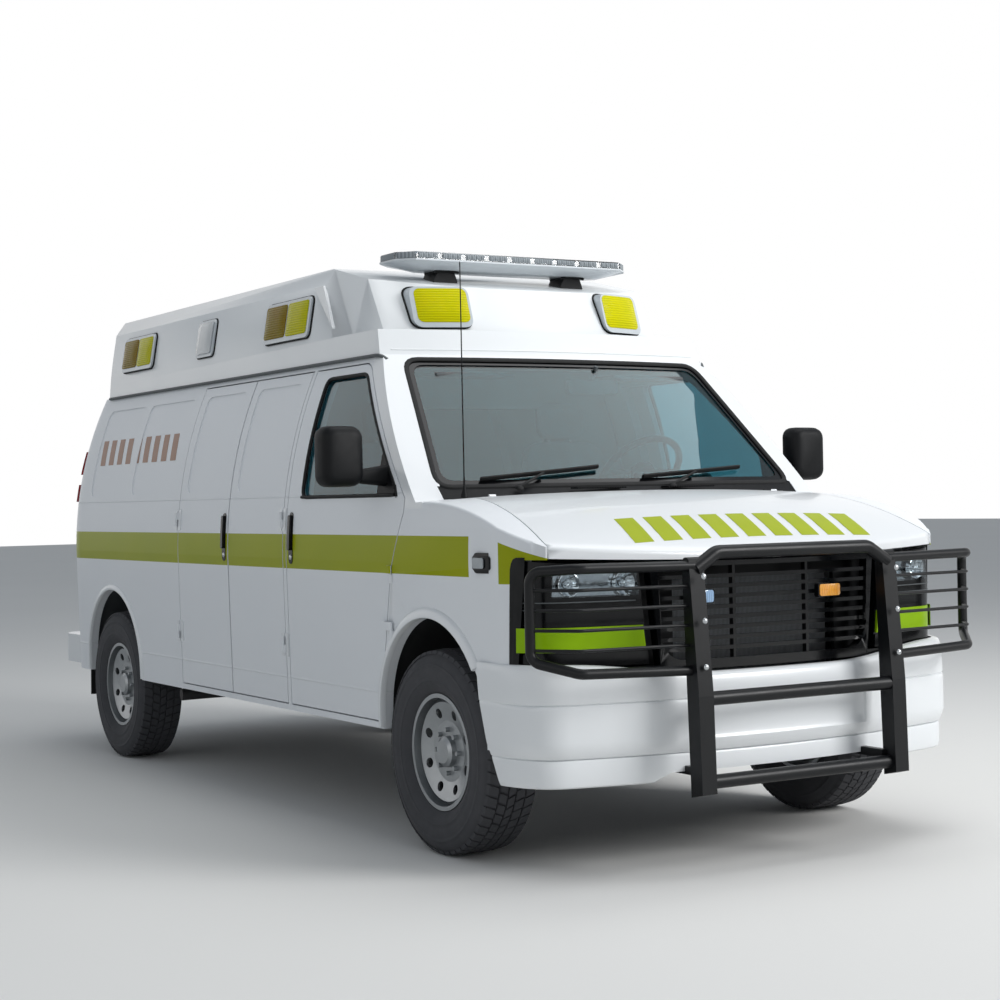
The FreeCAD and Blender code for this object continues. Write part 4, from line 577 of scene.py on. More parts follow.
class Shape:
    """Gathers the faces of one piece in the frame and turns them into an object."""

    def __init__(self) -> None:
        """Starts an empty piece."""
        self.mesh = bmesh.new()
        self.inner: list[bmesh.types.BMFace] = []

    def points(self, ring: Sequence[Vector]) -> list[bmesh.types.BMVert]:
        """New points of the mesh."""
        return [self.mesh.verts.new(p) for p in ring]

    def weld(self, reach: float = WELD) -> None:
        """Joins points that lie on one another."""
        bmesh.ops.remove_doubles(self.mesh, verts=self.mesh.verts, dist=reach)

    def loft(self, rings: Sequence[Sequence[Vector]], caps: bool = True, hollow: bool = False) -> None:
        """Skins a row of closed rings.

        Args:
            rings: Rings with the same number of points.
            caps: Whether the first and last rings are filled.
            hollow: Whether the faces look inwards, as the inside of a shell does.
        """
        rows = [self.points(ring) for ring in rings]
        made = [self.mesh.faces.new((a[j - 1], a[j], b[j], b[j - 1]))
                for a, b in zip(rows, rows[1:]) for j in [*range(1, len(a)), 0]]
        if caps:
            made += [self.mesh.faces.new(rows[0]), self.mesh.faces.new(rows[-1])]
        if hollow:
            self.inner += made

    def slab(self, front: Sequence[Sequence[Vector]], back: Sequence[Sequence[Vector]]) -> None:
        """A closed sheet between two grids of the same size."""
        rows, under = [self.points(row) for row in front], [self.points(row) for row in back]
        ups, ons = range(len(rows) - 1), range(len(rows[0]) - 1)
        quads = [(g[i][j], g[i][j + 1], g[i + 1][j + 1], g[i + 1][j]) for g in (rows, under) for i in ups for j in ons]
        quads += [(rows[i][j], rows[i + 1][j], under[i + 1][j], under[i][j]) for i in ups for j in (0, len(ons))]
        quads += [(rows[i][j], rows[i][j + 1], under[i][j + 1], under[i][j]) for j in ons for i in (0, len(ups))]
        for quad in quads:
            self.mesh.faces.new(quad)

    def tube(self, path: Sequence[Vector], radius: float, sides: int = 10, closed: bool = False,
             flat: float = 1.0, up: Vector = UP) -> None:
        """A tube along a path.

        Args:
            path: Points in the frame.
            radius: Radius in millimetres.
            sides: Faces round the tube.
            closed: Whether the path is a loop.
            flat: Height of the section over its width.
            up: Direction that the flattened side faces.
        """
        rings = []
        count = len(path)
        for k, spot in enumerate(path):
            before = path[k - 1] if closed or k else path[0]
            after = path[(k + 1) % count] if closed or k < count - 1 else path[-1]
            run = (after - before).normalized()
            across = run.cross(up)
            across = across.normalized() if across.length > 1e-4 else run.orthogonal().normalized()
            rise = across.cross(run).normalized()
            rings.append([spot + radius * MM * (across * math.cos(a) + rise * flat * math.sin(a))
                          for a in (FULL_TURN * s / sides for s in range(sides))])
        self.loft(rings + rings[:1] if closed else rings, caps=not closed)
        if closed:
            self.weld()

    def box(self, low: Vector, high: Vector, bevel: float, segments: int = 2, turn: Optional[Matrix] = None) -> None:
        """A block with rounded edges between two corners of the frame, turned about its middle."""
        middle, size = (low + high) / 2.0, high - low
        made = bmesh.ops.create_cube(self.mesh, size=1.0)["verts"]
        for v in made:
            v.co = Vector((v.co.x * size.x, v.co.y * size.y, v.co.z * size.z))
        edges = list({e for v in made for e in v.link_edges})
        cut = bmesh.ops.bevel(self.mesh, geom=edges, offset=bevel * MM, segments=segments, profile=0.6, affect="EDGES")
        for v in {v for f in cut["faces"] for v in f.verts} | {v for v in made if v.is_valid}:
            v.co = middle + (turn @ v.co if turn else v.co)

    def panel(self, outline: Outline, place: Place, proud: float, depth: float, cell: float, bulge: float = 0.0,
              seat: Optional[Place] = None) -> None:
        """A plate of any outline laid on a curved surface.

        Args:
            outline: Its edge in the surface's two coordinates.
            place: Turns coordinates and a proud height into a point.
            proud: Height of its face over the surface.
            depth: How thick it is.
            cell: Largest size of a facet.
            bulge: How much further its middle stands out.
            seat: The surface that its back follows, where that isn't the same one.
        """
        flat = bmesh.new()
        flat.faces.new([flat.verts.new((u, v, 0.0)) for u, v in outline])
        lows, highs = ([pick(p[k] for p in outline) for k in (0, 1)] for pick in (min, max))
        for k, normal in ((0, (1.0, 0.0, 0.0)), (1, (0.0, 1.0, 0.0))):
            parts = max(1, math.ceil((highs[k] - lows[k]) / cell))
            for j in range(1, parts):
                level = lerp(lows[k], highs[k], j / parts)
                spot = (level, 0.0, 0.0) if k == 0 else (0.0, level, 0.0)
                bmesh.ops.bisect_plane(flat, geom=flat.verts[:] + flat.edges[:] + flat.faces[:],
                                       plane_co=spot, plane_no=normal)
        front, back = {}, {}
        for v in flat.verts:
            a, b = (abs(2.0 * (v.co[k] - lows[k]) / (highs[k] - lows[k]) - 1.0) for k in (0, 1))
            swell = bulge * (1.0 - a ** 4) * (1.0 - b ** 4)
            front[v] = self.mesh.verts.new(place(v.co.x, v.co.y, proud + swell))
            back[v] = self.mesh.verts.new((seat or place)(v.co.x, v.co.y, proud - depth))
        for face in flat.faces:
            self.mesh.faces.new([front[v] for v in face.verts])
            self.mesh.faces.new([back[v] for v in reversed(face.verts)])
        for edge in flat.edges:
            if len(edge.link_faces) == 1:
                a, b = edge.verts
                self.mesh.faces.new((front[a], front[b], back[b], back[a]))
        flat.free()

    def revolve(self, profile: Outline, centre: Vector, axis: Vector, steps: int = 48) -> None:
        """A ring turned about an axis from a closed profile of (along, radius) in millimetres."""
        axis = axis.normalized()
        rings = [[centre + axis * a * MM + out * r * MM for a, r in profile] for out in circle(axis, steps)]
        self.loft(rings + rings[:1], caps=False)
        self.weld()

    def dome(self, centre: Vector, axis: Vector, radius: float, height: float, steps: int = 16, rows: int = 5) -> None:
        """A solid cap of the given radius and height standing on its flat base."""
        axis = axis.normalized()
        lifts = [math.radians(84.0 * i / (rows - 1)) for i in range(rows)]
        self.loft([[centre + axis * height * MM * math.sin(lift) + radius * MM * math.cos(lift) * out
                    for out in circle(axis, steps)] for lift in lifts])

    def to_mesh(self, name: str) -> bpy.types.Mesh:
        """Closes the piece: normals outward and hollow faces turned in."""
        bmesh.ops.recalc_face_normals(self.mesh, faces=self.mesh.faces)
        inner = [f for f in self.inner if f.is_valid]
        if inner:
            bmesh.ops.reverse_faces(self.mesh, faces=inner)
        made = bpy.data.meshes.new(name)
        self.mesh.to_mesh(made)
        self.mesh.free()
        return made

    def place(self, name: str, finish: Finish, slot: str, body: str = "body", smooth: float = 38.0) -> bpy.types.Object:
        """Turns the gathered faces into a finished piece on its body.

        Args:
            name: The piece's name.
            finish: Its surface.
            slot: The record's material slot; not used.
            body: The moving body it rides on.
            smooth: Edges sharper than this many degrees stay sharp.

        Returns:
            The new object.
        """
        return settle(self.to_mesh(name), name, finish, body, smooth)


def settle(mesh: bpy.types.Mesh, name: str, finish: Finish, body: str, smooth: float) -> bpy.types.Object:
    """Makes an object of a mesh that is already in place, dresses it and puts it on its body."""
    made = stand(name, mesh)
    mesh.materials.clear()
    mesh.materials.append(finish.material())
    mesh.shade_smooth()
    mesh.set_sharp_from_angle(angle=math.radians(smooth))
    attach(made, body)
    LOG.info("%s on %s: %d faces", name, body, len(mesh.polygons))
    return made


# ---- repeated pieces ----------------------------------------------------------------------------


class Pattern(Enum):
    """How a repeated item is laid out, with the names and kinds of the pattern's own inputs."""

    RING = (("Count", "Int"), ("Radius", "Float"), ("Centre", "Vector"))
    ROW = (("Count", "Int"), ("Start", "Vector"), ("Step", "Vector"))
    SPOTS = ()


class Repeater:
    """Lays copies of one small item round a ring, along a row or at given points."""

    def __init__(self) -> None:
        """Builds one node tree for each pattern."""
        self.trees = {pattern: self.tree(pattern) for pattern in Pattern}

    def tree(self, pattern: Pattern) -> bpy.types.GeometryNodeTree:
        """Builds the tree of a pattern, with a named input for each of its sizes."""
        tree = bpy.data.node_groups.new("repeat_" + pattern.name.lower(), "GeometryNodeTree")
        for label, kind in (("Geometry", "Geometry"), ("Item", "Object"), ("Finish", "Material")) + pattern.value:
            tree.interface.new_socket(label, in_out="INPUT", socket_type="NodeSocket" + kind)
        tree.interface.new_socket("Geometry", in_out="OUTPUT", socket_type="NodeSocketGeometry")
        nodes = Nodes(tree)
        given = nodes.add("NodeGroupInput").outputs
        item = nodes.add("GeometryNodeObjectInfo", {"Object": given["Item"]}).outputs["Geometry"]
        lay_out = {Pattern.RING: self.ring, Pattern.ROW: self.row, Pattern.SPOTS: self.spots}[pattern]
        points, turn = lay_out(nodes, given)
        laid = nodes.add("GeometryNodeInstanceOnPoints", {"Points": points, "Instance": item, "Rotation": turn})
        real = nodes.add("GeometryNodeRealizeInstances", {0: laid.outputs[0]})
        done = nodes.add("GeometryNodeSetMaterial", {"Geometry": real.outputs[0], "Material": given["Finish"]})
        nodes.add("NodeGroupOutput", {0: done.outputs[0]})
        return tree

    @staticmethod
    def ring(nodes: Nodes, given: bpy.types.NodeOutputs) -> tuple[Socket, Socket]:
        """Points round an axis along X, each turned to face outwards."""
        index = nodes.add("GeometryNodeInputIndex").outputs[0]
        angle = nodes.math("MULTIPLY", nodes.math("DIVIDE", index, given["Count"]), FULL_TURN)
        turn = nodes.add("ShaderNodeCombineXYZ", {0: angle}).outputs[0]
        arm = nodes.add("ShaderNodeCombineXYZ", {2: given["Radius"]}).outputs[0]
        swung = nodes.add("ShaderNodeVectorRotate", {"Vector": arm, "Angle": angle}, rotation_type="X_AXIS").outputs[0]
        spot = nodes.vector("ADD", {0: swung, 1: given["Centre"]})
        return nodes.add("GeometryNodePoints", {"Count": given["Count"], "Position": spot}).outputs[0], turn

    @staticmethod
    def row(nodes: Nodes, given: bpy.types.NodeOutputs) -> tuple[Socket, Socket]:
        """Points a step apart, with no turn."""
        index = nodes.add("GeometryNodeInputIndex").outputs[0]
        run = nodes.vector("SCALE", {0: given["Step"], "Scale": index})
        spot = nodes.vector("ADD", {0: run, 1: given["Start"]})
        points = nodes.add("GeometryNodePoints", {"Count": given["Count"], "Position": spot}).outputs[0]
        return points, nodes.add("FunctionNodeInputVector").outputs[0]

    @staticmethod
    def spots(nodes: Nodes, given: bpy.types.NodeOutputs) -> tuple[Socket, Socket]:
        """The carrier's own points, each turned so that the item's Z follows its facing."""
        facing = nodes.add("GeometryNodeInputNamedAttribute", {"Name": "facing"}, data_type="FLOAT_VECTOR").outputs[0]
        turn = nodes.add("FunctionNodeAlignRotationToVector", {"Vector": facing}, axis="Z").outputs[0]
        return given["Geometry"], turn

    def lay(self, pattern: Pattern, item: Shape, name: str, finish: Finish, slot: str, body: str = "body",
            smooth: float = 38.0, spots: Sequence[tuple[Vector, Vector]] = (), **sizes: object) -> None:
        """Runs a pattern and puts its plain mesh in place as one piece.

        Args:
            pattern: The layout.
            item: The small shape that repeats, made about the origin and kept.
            name: The piece's name.
            finish: Its surface, which the tree sets.
            slot: The record's material slot; not used.
            body: The moving body it rides on.
            smooth: Edges sharper than this many degrees stay sharp.
            spots: Points and facings, for the pattern of given points.
            sizes: Values of the pattern's named inputs.
        """
        copied = Shape()
        copied.mesh = item.mesh.copy()
        seed = stand("seed", copied.to_mesh("seed"))
        base = bpy.data.meshes.new("carrier")
        if spots:
            base.from_pydata([p for p, _ in spots], [], [])
            facing = base.attributes.new("facing", "FLOAT_VECTOR", "POINT")
            for k, (_, way) in enumerate(spots):
                facing.data[k].vector = way
        carrier = stand("carrier", base)
        live = carrier.modifiers.new("repeat", "NODES")
        live.node_group = self.trees[pattern]
        wanted = {"Item": seed, "Finish": finish.material(), **sizes}
        for socket in live.node_group.interface.items_tree:
            if socket.in_out == "INPUT" and socket.name in wanted:
                live[socket.identifier] = wanted[socket.name]
        graph = bpy.context.evaluated_depsgraph_get()
        mesh = bpy.data.meshes.new_from_object(carrier.evaluated_get(graph))
        carrier.modifiers.remove(live)
        for used in (carrier, seed):
            bpy.data.objects.remove(used)
        settle(mesh, name, finish, body, smooth)


# ---- sub-assemblies -----------------------------------------------------------------------------


@dataclass
class Bodywork:
    """Finishes of the carried-over nodes."""

    coats: tuple[tuple[Finish, tuple[str, ...]], ...] = (
        (STRIPED, (*both("body_side"), "fenders", *both("front_door"), "load_door_front", "load_door_rear")),
        (ENAMEL, ("cab_frame", "hood", *both("rear_door"), "rear_bumper", "front_bumper")),
        (GELCOAT, ("roof_cap",)),
        (SCREEN, ("windscreen",)),
        (SIDE_GLASS, both("front_glass")),
        (DARK_GLASS, both("rear_glass")),
        (GRAINED, ("cowl_panel", *both("mirror"), "steering_wheel", "radiator_panel")),
        (GLOSS_BLACK, ("grille", "headlamps", "fender_lamps", "roof_lamps", "light_bar")),
        (POWDER, ("brush_guard", "aerial")),
        (LINING, ("bulkhead", "seats")),
        (GREY_TRIM, ("dashboard",)),
        (FLOORING, ("floor_pan",)),
        (CHASSIS, ("chassis_frame", "driveshaft")),
        (CAST_IRON, ("engine", "front_suspension", "rear_axle", *both("knuckle"))),
        (FINS, ("radiator",)),
        (LINER, ("wheel_liners",)),
        (RED_LENS, ("tail_lamps",)),
        (WHEEL_SILVER, (*both("wheel_front"), *both("wheel_rear"))),
        (TYRE_RUBBER, (*both("tyre_front"), *both("tyre_rear"))),
    )

    def build(self) -> None:
        """Dresses every node."""
        for finish, nodes in self.coats:
            for node in nodes:
                for place in NODES[node].material_slots:
                    place.material = finish.material()
                NODES[node].data.shade_smooth()
                LOG.info("%s dressed in %s", node, finish.name)


@dataclass
class SoftPanels:
    """Pressed and moulded panels whose sharp edges are rounded on a copy."""

    droop: float = 20.0  # how much lower the hood's front edge hangs in its middle
    half: float = 0.893  # where the droop has run out, in metres

    def copy(self, node: str) -> Shape:
        """A copy of a node with its facets joined into whole faces."""
        item = Shape()
        item.mesh.from_mesh(NODES[node].data)
        item.weld(1e-5)
        bmesh.ops.recalc_face_normals(item.mesh, faces=item.mesh.faces)
        bmesh.ops.dissolve_limit(item.mesh, angle_limit=math.radians(0.8), verts=item.mesh.verts, edges=item.mesh.edges)
        return item

    def soften(self, item: Shape, radius: float, segments: int, pick: Callable[[Vector, Vector, float], bool]) -> None:
        """Rounds chosen outward edges.

        Args:
            item: The copy.
            radius: How far from the edge the rounding starts, in millimetres.
            segments: Facets in the rounding.
            pick: Says of an edge's two ends and its angle in degrees whether it is rounded.
        """
        edges = [e for e in item.mesh.edges
                 if len(e.link_faces) == 2 and e.is_convex
                 and pick(e.verts[0].co, e.verts[1].co, math.degrees(e.calc_face_angle()))]
        bmesh.ops.bevel(item.mesh, geom=edges, offset=radius * MM, offset_type="OFFSET", segments=segments, profile=0.5,
                        affect="EDGES", clamp_overlap=True)

    def lower(self, item: Shape, depth: float, pick: Callable[[Vector], bool]) -> None:
        """Lowers chosen corners, most in the middle of the vehicle."""
        for v in item.mesh.verts:
            if pick(v.co):
                v.co.z -= depth * MM * max(0.0, 1.0 - (v.co.x / self.half) ** 2)

    def build(self) -> None:
        """Builds fenders, hood, grille and roof cap."""
        fenders = self.copy("fenders")  # rounded along the shoulders, from the lamps to the cowl
        self.soften(fenders, 36.0, 5, lambda a, b, angle: 60.0 < angle < 86.0 and abs(a.y - b.y) > 0.008
                    and abs(a.x + b.x) > 1.87 and a.z + b.z > 2.36 and -4.8 < a.y + b.y < -3.48)
        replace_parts(fenders.place("fenders_rounded", STRIPED, "white_paint"), "fenders")
        hood = self.copy("hood")  # its lowest front edge hangs lower, and the edges of its front face are rounded
        edge = {v.co.to_tuple(4) for v in hood.mesh.verts if abs(v.co.z - 1.127) < 2e-4 and self.leading(v.co)}
        self.lower(hood, self.droop, lambda co: co.to_tuple(4) in edge)
        self.soften(hood, 13.0, 4, lambda a, b, angle: 50.0 < angle < 75.0 and min(a.z, b.z) > 1.13
                    and self.leading(a) and self.leading(b))
        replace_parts(hood.place("hood_rounded", ENAMEL, "white_paint", "hood"), "hood")
        grille = self.copy("grille")  # its top bar follows the hood down
        self.lower(grille, self.droop - 3.0, lambda co: co.z > 1.1)
        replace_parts(grille.place("grille_lowered", GLOSS_BLACK, "black_trim"), "grille")
        cap = self.copy("roof_cap")  # all its long edges over the gutter are rounded
        self.soften(cap, 7.0, 2, lambda a, b, angle: 25.0 < angle < 75.0 and (a - b).length > 0.03
                    and min(a.z, b.z) > 1.96)
        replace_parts(cap.place("roof_cap_rounded", GELCOAT, "white_shell"), "roof_cap")

    @staticmethod
    def leading(spot: Vector) -> bool:
        """Whether a point of the hood is on its front face."""
        return abs(spot.y / MM + DATUM_Y - (FORM.nose_y + bow(abs(spot.x) / MM, FORM.nose_half, 130.0))) < 6.0


@dataclass
class Aerial:
    """Whip aerial: a rubber foot, a ferrule and a thin mast."""

    base: tuple[float, float, float] = (-815.0, -62.0, 1346.0)
    top: float = 2251.0
    foot: tuple[tuple[float, float], ...] = (
        (0.0, 0.1), (1.0, 15.0), (14.0, 13.0), (30.0, 7.0), (46.0, 5.5), (47.0, 4.0), (78.0, 4.0), (79.0, 2.7))

    def build(self) -> None:
        """Builds the aerial on the cowl."""
        length = self.top - self.base[2]
        whip = Shape()
        whip.revolve([*self.foot, (length - 1.0, 2.3), (length, 0.1)], at(*self.base), UP, 12)
        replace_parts(whip.place("aerial_whip", GRAINED, "black_trim"), "aerial")


@dataclass
class Tyre:
    """A road tyre: rings on its side wall and a blocked tread."""

    node: str
    body: str
    radius: float = 388.0
    blocks: int = 54
    tread_depth: float = 9.0
    rows: tuple[tuple[float, float, float], ...] = (  # offset, width, share of a pitch that it is staggered
        (0.0, 27.0, 0.0), (-37.0, 34.0, 0.35), (37.0, 34.0, -0.35), (-77.0, 33.0, 0.1), (77.0, 33.0, -0.1),
    )
    half: tuple[tuple[float, float], ...] = (
        (90.0, 222.0), (97.0, 229.0), (105.0, 241.0), (112.0, 252.0), (116.0, 262.0), (116.5, 268.0), (119.5, 270.5),
        (119.5, 277.0), (118.5, 279.0), (121.0, 290.0), (122.0, 302.0), (121.5, 318.0), (120.0, 325.0),
        (121.5, 327.0), (121.5, 333.0), (119.0, 335.0), (117.0, 345.0), (114.0, 353.0), (107.0, 365.0),
        (98.0, 375.0), (94.0, 378.5), (60.0, 379.0), (20.0, 379.0),
    )

    def build(self, repeater: Repeater) -> None:
        """Builds carcass and tread on the node's own box."""
        low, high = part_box(self.node)
        centre = (low + high) / 2.0
        carcass = Shape()
        carcass.revolve([*self.half, *((-a, r) for a, r in reversed(self.half))], centre, ACROSS, 96)
        made = carcass.place(self.node + "_carcass", TYRE_RUBBER, "tyre_rubber", self.body, 50.0)
        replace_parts(made, self.node)
        pitch = FULL_TURN * self.radius / self.blocks
        block = Shape()
        for offset, width, stagger in self.rows:
            block.loft(self.lug(offset, width, stagger * pitch, pitch * 0.8))
        repeater.lay(Pattern.RING, block, self.node + "_tread", TYRE_RUBBER, "tyre_rubber", self.body, 30.0,
                     Count=self.blocks, Radius=(high.z - low.z) / 2.0, Centre=centre)

    def lug(self, offset: float, width: float, shift: float, length: float) -> list[list[Vector]]:
        """Two rings of one skewed block, base and top; shoulder blocks lean down the side wall."""
        out = math.copysign(12.0 if abs(offset) > 60.0 else 0.0, offset)
        skew = 7.0 if offset >= 0.0 else -7.0
        rings = []
        for z, grow, lean, drop in ((-self.tread_depth - 2.0, 1.5, 1.0, -7.0), (-1.2, 0.0, 0.55, -4.0)):
            ring = []
            for sx, sy in ((-1, -1), (1, -1), (1, 1), (-1, 1)):
                outer = sx * out > 0.0
                x = offset + sx * (width / 2.0 + grow) + (out if outer else 0.0) * lean
                y = shift + sy * (length / 2.0 + grow) + sx * skew
                ring.append(Vector((x * MM, y * MM, (z + (drop if outer else 0.0)) * MM)))
            rings.append(ring)
        return rings


@dataclass
class LightBar:
    """Warning light bar: pale tray, clear lens, rows of lamp modules and two feet."""

    half_length: float = 602.0
    half_depth: float = 140.0
    station: float = 943.0
    low: float = 2346.0
    seam: float = 2380.0
    high: float = 2416.0
    roof: float = 2284.0  # where the feet stand
    chamfer: float = 70.0
    modules: int = 9

    def ring(self, inset_x: float, inset_y: float, z: float) -> list[Vector]:
        """The bar's plan at a height, moved in from its ends and sides."""
        w, d = self.half_length - inset_x, max(self.half_depth - inset_y, self.chamfer * 0.6)
        c = min(self.chamfer, d * 0.8)
        plan = [(-w, -d + c), (-w + c, -d), (w - c, -d), (w, -d + c), (w, d - c), (w - c, d), (-w + c, d), (-w, d - c)]
        return [at(x, self.station + y, z) for x, y in plan]

    def block(self, shape: Shape, x: float, y: float, half: tuple[float, float], z: tuple[float, float],
              bevel: float = 2.5, turn: Optional[Matrix] = None) -> None:
        """Adds a block about a place in the bar's plan, between two heights over its seam."""
        y += self.station
        shape.box(at(x - half[0], y - half[1], self.seam + z[0]), at(x + half[0], y + half[1], self.seam + z[1]),
                  bevel, turn=turn)

    def build(self, repeater: Repeater) -> None:
        """Builds tray, lens, modules and feet."""
        seam, high = self.seam, self.high
        tray, lens = Shape(), Shape()
        tray.loft([self.ring(*inset) for inset in (
            (112, 62, self.low + 1), (60, 34, self.low + 14), (6, 4, seam - 8), (0.5, 0.5, seam - 4),
            (0.5, 0.5, seam + 3), (6, 6, seam + 3.5))])
        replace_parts(tray.place("light_bar_tray", PALE_BEZEL, "white_shell"), "light_bar")
        lens.loft([self.ring(i, i, z) for i, z in ((4, seam + 4), (4, high - 10), (7, high - 3), (16, high - 0.5))])
        lens.loft([self.ring(i, i, z) for i, z in ((8, seam + 5), (8, high - 11), (18, high - 4))], hollow=True)
        lens.place("light_bar_lens", CLEAR_LENS, "bar_lens")
        pitch = (2.0 * (self.half_length - self.chamfer)) / self.modules
        unit = Shape()
        unit.box(at(-pitch * 0.4, DATUM_Y - 8, -12), at(pitch * 0.4, DATUM_Y + 8, 11), 2.5)
        for k in range(4):
            for y, way in ((-8, AHEAD), (8, BACK)):
                unit.dome(at((k - 1.5) * pitch * 0.2, DATUM_Y + y, 0), way, 9.0, 2.5, 10, 3)
        first = -self.half_length + self.chamfer + pitch / 2.0
        for word, y in (("front", -self.half_depth + 10.0), ("rear", self.half_depth - 10.0)):
            repeater.lay(Pattern.ROW, unit, "light_bar_modules_" + word, LED_PANEL, "bar_lens", Count=self.modules,
                         Start=at(first, self.station + y, seam + 18), Step=ACROSS * (pitch * MM))
        ends = Shape()
        for sx in (-1, 1):
            for sy in (-1, 1):
                self.block(ends, sx * (self.half_length - 42.0), sy * (self.half_depth - 42.0), (40, 8), (5, 31),
                           turn=Matrix.Rotation(math.radians(45.0 * -sx * sy), 3, "Z"))
            self.block(ends, sx * (self.half_length - 10.0), 0, (8, 60), (5, 31))
        ends.place("light_bar_end_modules", LED_PANEL, "bar_lens")
        spine = Shape()
        self.block(spine, 0, 0, (520, 84), (4, 27), 4.0)
        spine.place("light_bar_spine", PALE_BEZEL, "bar_lens")
        feet = Shape()
        for x in (-330.0, 330.0):
            low, top = self.roof, self.low + 6.0
            corners = ((-1, -1), (1, -1), (1, 1), (-1, 1))
            feet.loft([[at(x + sx * w, self.station + y0 + sy * d, z) for sx, sy in corners] for w, d, y0, z in (
                (62, 52, 16, low), (58, 56, 20, low + 22), (42, 60, 20, top - 12), (46, 62, 20, top))])
            feet.tube([at(x + dx, self.station - y, top - drop) for dx, y, drop in
                       ((-60, 44, 12), (0, 52, 4), (60, 44, 12))], 6.0, 8)
        feet.place("light_bar_feet", GRAINED, "black_trim")


@dataclass
class RoofLamps:
    """Warning lamps let into the roof cap: pairs of lenses, a clear scene lamp and two at the front."""

    pairs: tuple[tuple[float, float], ...] = ((1306.0, 1785.0), (3250.0, 3705.0))
    scene: tuple[float, float] = (2416.0, 2630.0)
    heights: tuple[float, float] = (2078.0, 2262.0)
    front_x: tuple[float, float] = (342.0, 588.0)
    front_z: tuple[float, float] = (2075.0, 2255.0)
    rim: float = 20.0
    upright: float = 0.24  # how much less the front lamps rake than the face behind them

    def leant(self, face: Place) -> Place:
        """Places an x and height on a front lamp's own face, which rakes less than the cap's."""
        return lambda x, z, proud: face(x, z, proud + (z - self.front_z[0]) * self.upright)

    def build(self) -> None:
        """Builds gaskets, bezels and lenses of all eight lamps."""
        gasket, bezel, lime, olive, clear = Shape(), Shape(), Shape(), Shape(), Shape()
        z0, z1 = self.heights
        r = self.rim
        for side in SIDES:
            wall = FORM.cap_wall(side)
            for y0, y1 in self.pairs:
                mid = (y0 + y1) / 2.0
                gasket.panel(rounded(y0 - 6, y1 + 6, z0 - 7, z1 + 5, 34), wall, 7.0, 12.0, 60.0)
                bezel.panel(rounded(y0, y1, z0, z1, 28), wall, 17.0, 20.0, 60.0)
                for lens, low, high in ((lime, y0 + r, mid - 7), (olive, mid + 7, y1 - r * 0.4)):
                    lens.panel(rounded(low, high, z0 + r, z1 - r * 0.7, 16), wall, 20.0, 16.0, 30.0, 9.0)
            y0, y1 = self.scene
            gasket.panel(rounded(y0 - 5, y1 + 5, z0 - 6, z1 + 4, 28), wall, 6.0, 11.0, 60.0)
            bezel.panel(rounded(y0, y1, z0, z1, 24), wall, 14.0, 18.0, 60.0)
            clear.panel(rounded(y0 + 16, y1 - 10, z0 + 16, z1 - 12, 18), wall, 20.0, 10.0, 30.0, 10.0)
            face = FORM.cap_front(side)
            (x0, x1), (a, b) = self.front_x, self.front_z
            front = self.leant(face)
            gasket.panel(rounded(x0 - 6, x1 + 6, a - 6, b + 6, 40), face, 5.0, 12.0, 40.0)
            bezel.panel(rounded(x0, x1, a, b, 36), front, 20.0, 26.0, 40.0, seat=face)
            lime.panel(rounded(x0 + r * 0.5, x1 - r * 0.9, a + r * 1.1, b - r * 0.4, 26), front, 21.0, 12.0, 30.0, 12.0)
        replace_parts(bezel.place("roof_lamp_bezels", PALE_BEZEL, "lamp_lens"), "roof_lamps")
        gasket.place("roof_lamp_gaskets", RUBBER_SEAL, "black_trim")
        lime.place("roof_lamp_lime_lenses", LIME_LENS, "lamp_lens")
        olive.place("roof_lamp_olive_lenses", OLIVE_LENS, "lamp_lens")
        clear.place("roof_scene_lamp_lenses", PALE_LENS, "lamp_lens")


@dataclass
class CapTrim:
    """Gutter bead between body and cap, the moulded line over the screen and the side gussets."""

    gutter: tuple[float, float, float] = (824.0, 640.0, 3880.0)  # x, and the stations where it starts and ends
    turn_down: tuple[tuple[float, float, float], ...] = ((806, 566, 1922), (817, 586, 1936), (822, 610, 1942))
    brow_half: float = 770.0
    gusset: tuple[tuple[float, float, float, float, float], ...] = (  # x, station, height, how far proud and forward
        (806, 1045, 2092, 16, 4), (765, 1210, 2296, 14, 0), (764, 1330, 2298, 2, 0))

    def build(self) -> None:
        """Builds the gutter, the brow line and the gussets."""
        gutter, line, gusset = Shape(), Shape(), Shape()
        x, front, rear = self.gutter
        for side in SIDES:
            path = [at(side * spot[0], *spot[1:]) for spot in self.turn_down]
            path += [at(side * x, lerp(front, rear, k / 16), 1944) for k in range(17)]
            gutter.tube(path, 10.0, 8, flat=0.8)
            inner = [at(side * u, v, w) for u, v, w, _, _ in self.gusset]
            gusset.loft([inner, [spot + at(side * proud, DATUM_Y - ahead, 0)
                                 for spot, (_, _, _, proud, ahead) in zip(inner, self.gusset)]])
        line.tube([FORM.brow(lerp(-self.brow_half, self.brow_half, k / 28), 1968.0, 0.5) for k in range(29)], 3.5, 6)
        gutter.place("roof_gutter_bead", GREY_TRIM, "black_trim")
        line.place("roof_brow_line", GELCOAT, "white_shell")
        gusset.place("roof_side_gussets", GELCOAT, "white_shell")


